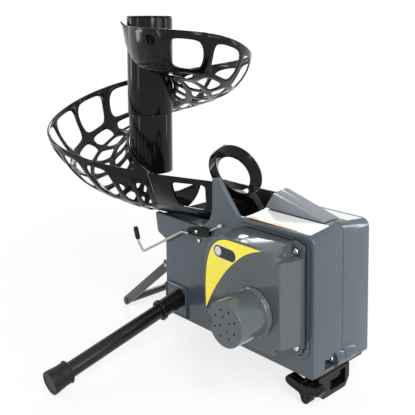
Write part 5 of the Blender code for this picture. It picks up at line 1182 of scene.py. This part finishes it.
def smooth(points, steps=6):
    """A curve through points of an open path."""
    line = [points[0]] + list(points) + [points[-1]]
    curve = []
    for a, b, c, d in zip(line, line[1:], line[2:], line[3:]):
        for k in range(steps):
            t = k / steps
            curve.append(tuple(0.5 * (2 * q + (r - p) * t + (2 * p - 5 * q + 4 * r - s) * t * t
                                      + (3 * q - p - 3 * r + s) * t ** 3) for p, q, r, s in zip(a, b, c, d)))
    curve.append(tuple(points[-1]))
    return curve


def notch(stations, far, wall=0.0):
    """A bar along Y round a cover screw, open to the right and towards z = far."""
    loops = []
    for y, left, level in stations:
        edge, flat = left - wall, level - (wall if far > level else -wall)
        corners = [(edge, far, 0), (edge, flat, NOTCH_CORNER + wall), (0.01, flat, 0), (0.01, far, 0)]
        loops.append(placed(rounded(corners, 10), y))
    return skin(loops)


class TOSS_OT_cover(bpy.types.Operator):
    """Build the gearbox cover, notched at both right corners, and the dark discs of painted shade in the
    screw holes of the notches
    """

    bl_idname = "toss.cover"
    bl_label = "Gearbox cover"

    def execute(self, context):
        back, floor = COVER_BACK_Y, NOTCH_FLOOR_Y
        foot, front = cover_outline(0.002), cover_outline(0)
        inner = inset(foot, WALL)
        cover = skin(round_over(front, COVER_FRONT_Y, NEAR, 0.0018) + [placed(foot, back)])
        cover = join(cover, *(across(*place, floor, back, lobe, 64) for place, lobe in COVER_SCREWS))
        room = skin([placed(inset(front, WALL), COVER_FRONT_Y + WALL), placed(inner, back),
                     placed(inner, back + 0.005)])
        room = cut(room, notch(TOP_NOTCH, 0.25, WALL), notch(LOW_NOTCH, 0.03, WALL),
                   block(-0.0375, 0, back - 0.01, back + 0.01, 0.191, 0.25),
                   block(-0.0350, 0, back - 0.01, back + 0.01, 0.03, 0.084))
        rings = [across(*place, floor - 0.01, floor + 0.0012, 0.0056, 40) for place, _ in COVER_SCREWS]
        cover = cut(cover, room, notch(TOP_NOTCH, 0.25), notch(LOW_NOTCH, 0.03), *rings)
        cover = bevelled(cover, 0.0007, 2, 50)
        finish(cover, "gearbox_housing", "housing", "cover_plastic", ("gearbox_cover",), 30)
        # Dark discs set in the screw holes of the notches: painted shade where the holes' shadow falls, in
        # the groove_shadow finish
        hole_shades = merged([across(*place, floor + 0.0006, floor + 0.0016, 0.0057, 40)
                          for place, _ in COVER_SCREWS])
        finish(hole_shades, "screw_washers", "housing", "groove_shadow")
        return {"FINISHED"}


class TOSS_OT_sticker(bpy.types.Operator):
    """Lay the yellow sticker with its dark border and bare pill on the cover"""

    bl_idname = "toss.sticker"
    bl_label = "Sticker"

    def execute(self, context):
        film = smooth(STICKER_OUTER)[:-1] + smooth(STICKER_INNER)[:-1]
        flat = COVER_FRONT_Y
        first, last = (Vector((x, flat, z)) for x, z in PILL_ENDS)
        along = (last - first).normalized()
        border = prism(inset(film, -0.0007), flat - 0.00008, flat + 0.0002)
        pieces = [("sticker_border", "sticker_edge", border),
                  ("sticker", "sticker_film", prism(film, flat - 0.00016, flat + 0.0002))]
        for name, film_name, radius, face in (("pill_border", "grey_film", 0.0088, flat - 0.00018),
                                              ("sticker_pill", "pill_film", 0.0080, flat - 0.00028)):
            ends = [across(point.x, point.z, face, flat, radius, 48) for point in (first, last)]
            up = Vector((-along.z, 0, along.x)) * radius
            corners = [(p.x, p.z) for p in (first + up, first - up, last - up, last + up)]
            pieces.append((name, film_name, merged(ends + [prism(corners, face + 0.00001, flat)])))
        disc = across(first.x, first.z, flat - 0.00038, flat, 0.0062, 40)
        for name, film_name, shape in pieces + [("sticker_disc", "grey_film", disc)]:
            finish(shape, name, "housing", film_name)
        return {"FINISHED"}


class TOSS_OT_motor_cap(bpy.types.Operator):
    """Build the motor cap and drill its vent holes, which stand on points"""

    bl_idname = "toss.motor_cap"
    bl_label = "Motor cap"

    def execute(self, context):
        radius = context.scene.toss_shape.vent_radius
        room = CAP_RADIUS - 0.0022
        cap = turned(softened([
            (0, CAP_LENGTH - 0.0025), (room, CAP_LENGTH - 0.0025), (room, 0), (CAP_RADIUS + CAP_RING, 0),
            (CAP_RADIUS + CAP_RING, 0.0035), (CAP_RADIUS + 0.0008, 0.0052), (CAP_RADIUS, 0.0075),
            (CAP_RADIUS, CAP_LENGTH), (0, CAP_LENGTH)], 0.0014, 5), 96)
        places = [(ring * cos(turn), ring * sin(turn), CAP_LENGTH)
                  for ring, count, first in ((0.0182, 8, 0.39), (0.0093, 4, 0.39))
                  for turn in (first + 2 * pi * k / count for k in range(count))]
        drill = rod((0, 0, -0.006), (0, 0, 0.006), MILLIMETRE, 20)
        tree = copies_tree(drill, "groove_shadow")
        holes = grown(points_object(places), tree, {"Scale": radius / MILLIMETRE})
        drop(drill)
        cap = cut(cap, holes)
        x, z = MOTOR_AXIS
        cap = aim(cap, (x, COVER_FRONT_Y - GAP, z), (x, -1, z))
        finish(cap, "motor_cap_moulding", "housing", "cover_plastic", ("motor_cap",), 30)
        return {"FINISHED"}


def cross_screw():
    """A domed screw head of 1 mm radius facing -Y, with a cross recess."""
    dome = [(0, 0), (0.5, 0.03), (0.8, 0.12), (0.97, 0.3), (1, 0.42), (1, 0.62), (0.42, 0.62), (0.42, 1.2),
            (0, 1.2)]
    head = turned([(r * MILLIMETRE, h * MILLIMETRE) for r, h in dome], 28)
    slots = [block(-0.00055, 0.00055, -0.00014, 0.00014, -0.001, 0.00032),
             block(-0.00014, 0.00014, -0.00055, 0.00055, -0.001, 0.00032)]
    head = cut(head, join(*slots))
    return aim(head, (0, 0, 0), (0, 1, 0))


class TOSS_OT_screws(bpy.types.Operator):
    """Stand a cross-recess screw on every screw place"""

    bl_idname = "toss.screws"
    bl_label = "Screws"

    def execute(self, context):
        screw = cross_screw()
        tree = copies_tree(screw, "bright_screw")
        floor = NOTCH_FLOOR_Y - 0.0020
        face = -HALF_WIDTH - 0.0028
        lever = -HALF_WIDTH - GAP - LEVER_THICKNESS - 0.0028
        groups = (
            ("cover_screws", "housing", 4.3, [(*TOP_SCREW, floor), (*LOW_SCREW, floor)],
             ("cover_screw_top", "cover_screw_low")),
            ("stop_screw_head", "housing", 2.9, [(*STOP_SCREW, face)], ("stop_screw",)),
            ("seam_screw_head", "housing", 4.4, [(BOSS_X, BOSS_Z, -0.0188)], ("seam_screw",)),
            ("lever_rivet_head", "housing", 2.6, [(*LEVER_PIVOT, lever)], ("lever_rivet",)),
            ("lever_tip_head", "lever", 2.4, [(*LEVER_TIP, lever)], ("lever_tip_screw",)),
        )
        for name, body, scale, places, nodes in groups:
            heads = grown(points_object([(x, y, z) for x, z, y in places]), tree, {"Scale": scale})
            finish(heads, name, body, "bright_screw", nodes, 40)
        drop(screw)
        return {"FINISHED"}


# Top, throat and arm

TOP_LABEL = [(-0.1225, -0.0572), (-0.1225, -0.0185), (-0.0095, -0.0185), (-0.0090, -0.0572)]
FAR_LABEL = [(-0.0940, 0.0205), (-0.0940, 0.0505), (-0.0060, 0.0505), (-0.0085, 0.0195)]
LABEL_LINE = [(-0.1165, -0.0568), (-0.1165, -0.0518), (-0.0330, -0.0518), (-0.0330, -0.0568)]


def top_level(y):
    """The height of the housing's top skin."""
    return SIDE_TOP_Z + CROWN * (1 - abs(y) / HALF_WIDTH)


class TOSS_OT_top(bpy.types.Operator):
    """Build the stepped ridge, the two bare labels and the throat's liner"""

    bl_idname = "toss.top"
    bl_label = "Ridge, labels and liner"

    def execute(self, context):
        near, far, left, right = (RIDGE[key] for key in ("near", "far", "left", "right"))
        width = far - near
        stations = [(near, 3), (near + 0.0009, 2.2), (near + width * 0.26, 2), (near + width * 0.28, 1.1),
                    (near + width * 0.5, 1), (near + width * 0.52, 0.5), (near + width * 0.74, 0.4),
                    (near + width * 0.76, 0), (far - 0.0009, 0), (far, 1)]
        loops = []
        for y, steps_down in stations:
            base = top_level(y) + GAP
            loops.append([(left, y, base), (right, y, base), (right, y, base + 0.0015),
                          (RIDGE["top"], y, RIDGE["height"] - steps_down * 0.0015)])
        ridge = bevelled(skin(loops), 0.0004, 2, 25)
        finish(ridge, "ridge_moulding", "housing", "ridge_plastic", ("top_ridge",), 20)
        for name, film_name, outline, low, high in (("top_label", "label_film", TOP_LABEL, -0.0002, 0.00016),
                                                    ("far_label", "label_film", FAR_LABEL, -0.0002, 0.00016),
                                                    ("label_line", "orange_film", LABEL_LINE, 0, 0.0004)):
            loops = [[(x, y, top_level(y) + height) for x, y in outline] for height in (low, high)]
            finish(skin(loops), name, "housing", film_name)
        outer, inner = THROAT_HALF - GAP, THROAT_HALF - 0.0033
        low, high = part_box("throat_liner")
        left, right = low.x - END_FACE_X, high.x - END_FACE_X
        liner = join(block(left, right, inner, outer, low.z, 0.2205),
                     block(left, -0.165, inner, outer, 0.21, high.z),
                     block(right - 0.003, right, -outer, outer, 0.194, 0.2205),
                     block(EAR_LEFT_X + 0.004, right, -outer, -inner, low.z, 0.2205))
        liner = bevelled(liner)
        finish(liner, "liner_moulding", "housing", "satin_moulding", ("throat_liner",), 30)
        return {"FINISHED"}


class TOSS_OT_arm(bpy.types.Operator):
    """Build the throwing arm: funnel ring, stem, nub and hub"""

    bl_idname = "toss.arm"
    bl_label = "Throwing arm"

    def execute(self, context):
        wall = 0.0024
        ring = turned(softened([
            (RING_HOLE, RING_BACK), (RING_HOLE + wall, RING_BACK),
            (RING_FRONT_RADIUS - wall, RING_FRONT - 1.7 * wall), (RING_RADIUS - wall, RING_BACK),
            (RING_RADIUS, RING_BACK), (RING_FRONT_RADIUS + 0.0005, RING_FRONT - 0.001),
            (RING_FRONT_RADIUS - 0.0005, RING_FRONT), (RING_FRONT_RADIUS - 0.0016, RING_FRONT),
            (RING_HOLE, RING_BACK + 0.0017)], 0.0005, 3), 96)
        ring = aim(ring, (0, 0, ARM_LENGTH), (1, 0, ARM_LENGTH))
        top = ARM_LENGTH - (RING_HOLE + RING_RADIUS) / 2 - 0.001
        loops = []
        for share in [k / 16 for k in range(17)]:
            z = top * share
            flare = max(0.0, (share - 0.72) / 0.28) ** 2
            left = -0.009 + (RING_BACK + 0.009) * flare
            right = 0.009 - 0.008 * flare
            half = 0.0055 + 0.0055 * flare
            loops.append([(left, -half, z), (right, -half, z), (right, half, z), (left, half, z)])
        stem = bevelled(skin(loops), 0.0012, 3, 50)
        hub = rod((0, -0.012, 0), (0, 0.012, 0), 0.011, 48)
        nub = bevelled(block(-0.0030, 0.0018, -0.0036, 0.0036, ARM_LENGTH + RING_RADIUS - 0.004,
                             ARM_LENGTH + RING_RADIUS - 0.0002), 0.0008)
        arm = join(ring, stem, hub, nub)
        arm = cut(arm, rod((0, -0.1, 0), (0, 0.1, 0), 0.0053, 32))
        arm.data.transform(Matrix.Translation((ARM_PIVOT[0], 0, ARM_PIVOT[1]))
                           @ Matrix.Rotation(radians(-ARM_REST), 4, "Y"))
        finish(arm, "arm_moulding", "arm", "polished_black", ("throwing_arm",), 35)
        return {"FINISHED"}


# Lever, legs and stand


def round_outline(circles, steps=12):
    """The outline round a row of circles (x, z, radius), end to end."""
    ways = [atan2(b[1] - a[1], b[0] - a[0]) for a, b in zip(circles, circles[1:])]
    bends = list(zip(circles[1:-1], ways, ways[1:]))
    stops = [(circles[0], ways[0] + pi / 2 + pi * k / steps) for k in range(steps + 1)]
    for circle, before, after in bends:
        stops += [(circle, turn - pi / 2) for turn in (before, (before + after) / 2, after)]
    stops += [(circles[-1], ways[-1] - pi / 2 + pi * k / steps) for k in range(steps + 1)]
    for circle, before, after in reversed(bends):
        stops += [(circle, turn + pi / 2) for turn in (after, (before + after) / 2, before)]
    return [(x + radius * cos(turn), z + radius * sin(turn)) for (x, z, radius), turn in stops]


class TOSS_OT_lever(bpy.types.Operator):
    """Build the ball lever: plate, link, bent wire and grip"""

    bl_idname = "toss.lever"
    bl_label = "Ball lever"

    def execute(self, context):
        back = -HALF_WIDTH - GAP
        front = back - LEVER_THICKNESS
        plate = prism(round_outline([(-0.2320, 0.1812, 0.0056), (-0.2150, 0.1842, 0.0078),
                                     (-0.1965, 0.1857, 0.0062)]), front, back)
        finish(bevelled(plate, 0.0008, 3), "lever_arm", "lever", "polished_black",
               ("lever_plate",))
        link = join(prism(round_outline([(-0.1985, 0.1862, 0.0011), (*LEVER_TIP, 0.0011)]), back - 0.0032,
                          back - 0.0008),
                    across(*LEVER_TIP, back - 0.0034, back - 0.0006, 0.0028))
        finish(bevelled(link, 0.0004), "lever_link", "lever", "dull_steel")
        y = front - GAP - 0.002
        bar = bar_along([(x, y, z) for x, z in rounded(WIRE_PATH)], "bright_wire", 0.002, 20)
        finish(bar, "lever_bar", "lever", "bright_wire", ("lever_wire",), 60)
        start = Vector((WIRE_PATH[-1][0], y, WIRE_PATH[-1][1]))
        end = Vector((GRIP_END[0], y, GRIP_END[1]))
        length = (end - start).length
        profile = [(0, 0), (0.0031, 0), (0.004, 0.0026), (0.004, length - 0.0028), (0.0028, length),
                   (0, length)]
        grip = aim(turned(softened(profile, 0.0012, 4), 32), start, end)
        finish(grip, "grip", "lever", "black_rubber", ("lever_grip",), 40)
        return {"FINISHED"}


class TOSS_OT_legs(bpy.types.Operator):
    """Build both side legs: socket, tube and rubber cap"""

    bl_idname = "toss.legs"
    bl_label = "Legs"

    def execute(self, context):
        low = FOOT_CAP_RADIUS * cos(radians(LEG_SLOPE))
        end = (LEG_START_Z - low) / sin(radians(LEG_SLOPE))
        start = end - FOOT_CAP_LENGTH
        bore, lip, wide = LEG_RADIUS + GAP, SOCKET_RADIUS + 0.0022, FOOT_CAP_RADIUS
        socket = [(bore, -0.036), (SOCKET_RADIUS, -0.036), (SOCKET_RADIUS, SOCKET_LENGTH - 0.007),
                  (lip, SOCKET_LENGTH - 0.0055), (lip, SOCKET_LENGTH - 0.0008),
                  (lip - 0.0012, SOCKET_LENGTH), (bore, SOCKET_LENGTH)]
        cap = [(0, end - 0.0037), (bore, end - 0.0037), (bore, start), (LEG_RADIUS + 0.004, start),
               (LEG_RADIUS + 0.0055, start + 0.002), (LEG_RADIUS + 0.004, start + 0.0044),
               (wide - 0.0015, start + 0.012), (wide, end - 0.004), (wide, end), (wide - 0.0028, end),
               (wide - 0.0034, end - 0.0007), (0, end - 0.0007)]
        for side, name in ((NEAR, "near"), (FAR, "far")):
            for profile, label, body, paint, slot, node in (
                    (socket, "socket", "housing", "satin_moulding", "satin_black", f"{name}_leg_socket"),
                    (tube(LEG_RADIUS, -0.03, end - 0.004, 0.0015), "tube", f"{name}_leg", "black_paint",
                     "satin_black", f"{name}_leg_tube"),
                    (cap, "cap", f"{name}_leg", "black_rubber", "rubber", f"{name}_leg_foot")):
                shape = aim(turned(softened(profile, 0.0008, 4)), leg_point(side, 0), leg_point(side, 1))
                finish(shape, f"{name}_{label}", body, paint, (node,))
        return {"FINISHED"}


class TOSS_OT_stand(bpy.types.Operator):
    """Build the folding stand's straps and foot bar"""

    bl_idname = "toss.stand"
    bl_label = "Folding stand"

    def execute(self, context):
        outer = STRAP_INNER_Y + STRAP_THICKNESS
        for side, name in ((NEAR, "near"), (FAR, "far")):
            low, high = sorted((side * STRAP_INNER_Y, side * outer))
            half = STRAP_WIDTH / 2
            strap = prism(round_outline([(*STAND_PIVOT, half), (*STAND_FOOT, half)], 16), low, high)
            strap = cut(strap, across(*STAND_PIVOT, low - 0.01, high + 0.01, 0.0033))
            finish(bevelled(strap, 0.0006), f"strap_{name}", "stand", "strap_paint",
                   (f"stand_strap_{name}",))
        end, head = STRAP_INNER_Y - GAP, outer + GAP
        profile = [(0, -head - 0.002), (0.0032, -head - 0.002), (0.0045, -head - 0.0008), (0.0045, -head),
                   (0.0025, -head), (0.0025, -end), (0.006, -end)]
        profile += [(radius, -height) for radius, height in reversed(profile)]
        x, z = STAND_FOOT
        bar = aim(turned(softened(profile, 0.0005, 2), 48), (x, 0, z), (x, 1, z))
        finish(bar, "foot_bar", "stand", "strap_paint", ("stand_cross_bar",), 40)
        return {"FINISHED"}


# Knob


def knob_reach(angle):
    """Distance from the knob's axis to its edge: round-ended lobes round a hub."""
    lobe = 0.0068
    reach = 0.009
    for direction, length in KNOB_LOBES:
        aside = abs((angle - radians(direction) + pi) % (2 * pi) - pi)
        out = length - lobe
        if aside < atan2(lobe, out):
            reach = max(reach, out * cos(aside) + sqrt(lobe ** 2 - (out * sin(aside)) ** 2))
        elif aside < pi / 2:
            reach = max(reach, lobe / sin(aside))
    return reach


class TOSS_OT_knob(bpy.types.Operator):
    """Build the star knob of the tilting foot"""

    bl_idname = "toss.knob"
    bl_label = "Star knob"

    def execute(self, context):
        x, z = FOOT_PIVOT
        low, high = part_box("star_knob")
        count = 120
        outline = [(x + knob_reach(a) * cos(a), z + knob_reach(a) * sin(a))
                   for a in (2 * pi * k / count for k in range(count))]
        for _ in range(3):
            outline = [tuple((outline[k - 1][i] + 2 * outline[k][i] + outline[(k + 1) % count][i]) / 4
                             for i in range(2)) for k in range(count)]
        loops = [placed(inset(outline, 0.0048), low.y + 0.0006), placed(inset(outline, 0.0030), low.y)]
        loops += round_over(outline, low.y, NEAR, 0.0020, 5)
        loops += [placed(outline, high.y - 0.004), placed(inset(outline, 0.001), high.y - 0.003)]
        knob = join(skin(loops), across(x, z, low.y + 0.004, high.y, 0.008, 40))
        knob = cut(knob, across(x, z, low.y + 0.006, high.y + 0.01, 0.0033))
        finish(knob, "knob_moulding", "knob", "polished_black", ("star_knob",))
        return {"FINISHED"}


# Stage


def white_rays(tree, share=1.0):
    """One for glossy and transmission rays, share for the camera's own rays and nothing for the others."""
    path = tree.nodes.new("ShaderNodeLightPath").outputs
    white = maths(tree, "MULTIPLY", path["Is Camera Ray"], share)
    for label in ("Is Transmission Ray", "Is Glossy Ray"):
        white = maths(tree, "MAXIMUM", white, path[label])
    return white


class TOSS_OT_stage(bpy.types.Operator):
    """Lay the floor and set the light and the camera"""

    bl_idname = "toss.stage"
    bl_label = "Floor, light and camera"

    def execute(self, context):
        settings = context.scene.toss_stage
        scene = context.scene
        scene.view_settings.view_transform = "Standard"
        scene.world = bpy.data.worlds.new("studio")
        scene.world.use_nodes = True
        tree = scene.world.node_tree
        feed(tree, tree.nodes["Background"], {
            "Color": (1, 1, 1, 1), "Strength": remapped(tree, white_rays(tree), WORLD_LEVEL, 1.0)})
        floor = turned(tube(FLOOR_RADIUS, 0, -0.01, FLOOR_RADIUS), 96)
        floor.name = "floor"
        paint = Paint("floor_sweep", settings.floor_colour, 0.9, specular=0.0)
        floor.data.materials.append(paint.material)
        tree = paint.tree
        away = wire(tree, "ShaderNodeVectorMath", {0: paint.place}, operation="LENGTH").outputs["Value"]
        glow = wire(tree, "ShaderNodeEmission", {"Color": (1, 1, 1, 1), "Strength": 1.0})
        blend = wire(tree, "ShaderNodeMixShader", {
            0: white_rays(tree, remapped(tree, away, FLOOR_WHITE_NEARBY, 1.0, *FLOOR_FADE)),
            1: paint.shader.outputs[0], 2: glow.outputs[0]})
        feed(tree, tree.nodes["Material Output"], {"Surface": blend.outputs[0]})
        lamps = (
            ("key", (1.6, -0.7, 1.5), (0.5, 1.5), settings.key_power),
            ("end_fill", (1.9, 0.4, 0.9), (0.9, 0.9), settings.fill_power),
            ("left_strip", (-1.6, -0.9, 0.8), (0.25, 1.3), settings.fill_power * 0.8),
            ("back", (-1.2, 1.25, 1.1), (0.6, 0.6), settings.fill_power * 1.4),
            ("left_streak", (-0.5, -2.1, 0.5), (0.14, 1.9), settings.fill_power * 0.7),
            ("right_streak", (1.2, 1.75, 0.6), (0.14, 1.9), settings.fill_power * 0.9),
        )
        for name, spot, (wide, tall), power in lamps:
            lamp = bpy.data.lights.new(name, "AREA")
            lamp.shape = "RECTANGLE"
            lamp.size = wide
            lamp.size_y = tall
            lamp.energy = power
            holder = new_object(name, lamp)
            holder.location = spot
            holder.rotation_euler = (LIT_POINT - Vector(spot)).to_track_quat("-Z", "Y").to_euler()
        yaw, pitch, roll = radians(CAMERA_YAW), radians(CAMERA_PITCH), radians(CAMERA_ROLL)
        forward = Vector((-sin(yaw) * cos(pitch), cos(yaw) * cos(pitch), -sin(pitch)))
        right = Vector((cos(yaw), sin(yaw), 0))
        down = forward.cross(right)
        right, down = right * cos(roll) + down * sin(roll), down * cos(roll) - right * sin(roll)
        lens = bpy.data.cameras.new("camera")
        lens.sensor_width = SENSOR_WIDTH
        lens.lens = FOCAL_LENGTH / PICTURE_SIZE * SENSOR_WIDTH
        lens.shift_x = -(LENS_CENTRE[0] - PICTURE_SIZE / 2) / PICTURE_SIZE
        lens.shift_y = (LENS_CENTRE[1] - PICTURE_SIZE / 2) / PICTURE_SIZE
        turn = Matrix((right, -down, -forward)).transposed().to_4x4()
        x, y, z = CAMERA_PLACE
        scene.camera = new_object("camera", lens)
        scene.camera.matrix_world = Matrix.Translation((x + END_FACE_X, y, z)) @ turn
        return {"FINISHED"}


class TOSS_PT_panel(bpy.types.Panel):
    """Lists the machine's pieces and settings"""

    bl_label = "Soft toss machine"
    bl_idname = "TOSS_PT_panel"
    bl_space_type = "VIEW_3D"
    bl_region_type = "UI"
    bl_category = "Toss machine"

    def draw(self, context):
        layout = self.layout
        scene = context.scene
        for settings in (scene.toss_finish, scene.toss_shape, scene.toss_stage):
            for name in settings.__annotations__:
                layout.prop(settings, name)
        for operator in OPERATORS:
            layout.operator(operator.bl_idname)


OPERATORS = (
    TOSS_OT_finishes,
    TOSS_OT_ramp,
    TOSS_OT_column,
    TOSS_OT_chute,
    TOSS_OT_housing,
    TOSS_OT_cover,
    TOSS_OT_sticker,
    TOSS_OT_motor_cap,
    TOSS_OT_top,
    TOSS_OT_arm,
    TOSS_OT_lever,
    TOSS_OT_screws,
    TOSS_OT_legs,
    TOSS_OT_stand,
    TOSS_OT_knob,
    TOSS_OT_stage,
)
SETTINGS = (FinishSettings, ShapeSettings, StageSettings)


def register():
    for item in SETTINGS + OPERATORS + (TOSS_PT_panel,):
        bpy.utils.register_class(item)
    bpy.types.Scene.toss_finish = bpy.props.PointerProperty(type=FinishSettings)
    bpy.types.Scene.toss_shape = bpy.props.PointerProperty(type=ShapeSettings)
    bpy.types.Scene.toss_stage = bpy.props.PointerProperty(type=StageSettings)


def unregister():
    del bpy.types.Scene.toss_stage
    del bpy.types.Scene.toss_shape
    del bpy.types.Scene.toss_finish
    for item in reversed(SETTINGS + OPERATORS + (TOSS_PT_panel,)):
        bpy.utils.unregister_class(item)


def main():
    register()
    bpy.ops.toss.finishes()
    bpy.ops.toss.ramp()
    bpy.ops.toss.column()
    bpy.ops.toss.chute()
    bpy.ops.toss.housing()
    bpy.ops.toss.cover()
    bpy.ops.toss.sticker()
    bpy.ops.toss.motor_cap()
    bpy.ops.toss.top()
    bpy.ops.toss.arm()
    bpy.ops.toss.lever()
    bpy.ops.toss.screws()
    bpy.ops.toss.legs()
    bpy.ops.toss.stand()
    bpy.ops.toss.knob()
    bpy.ops.toss.stage()


if __name__ == "__main__":
    main()
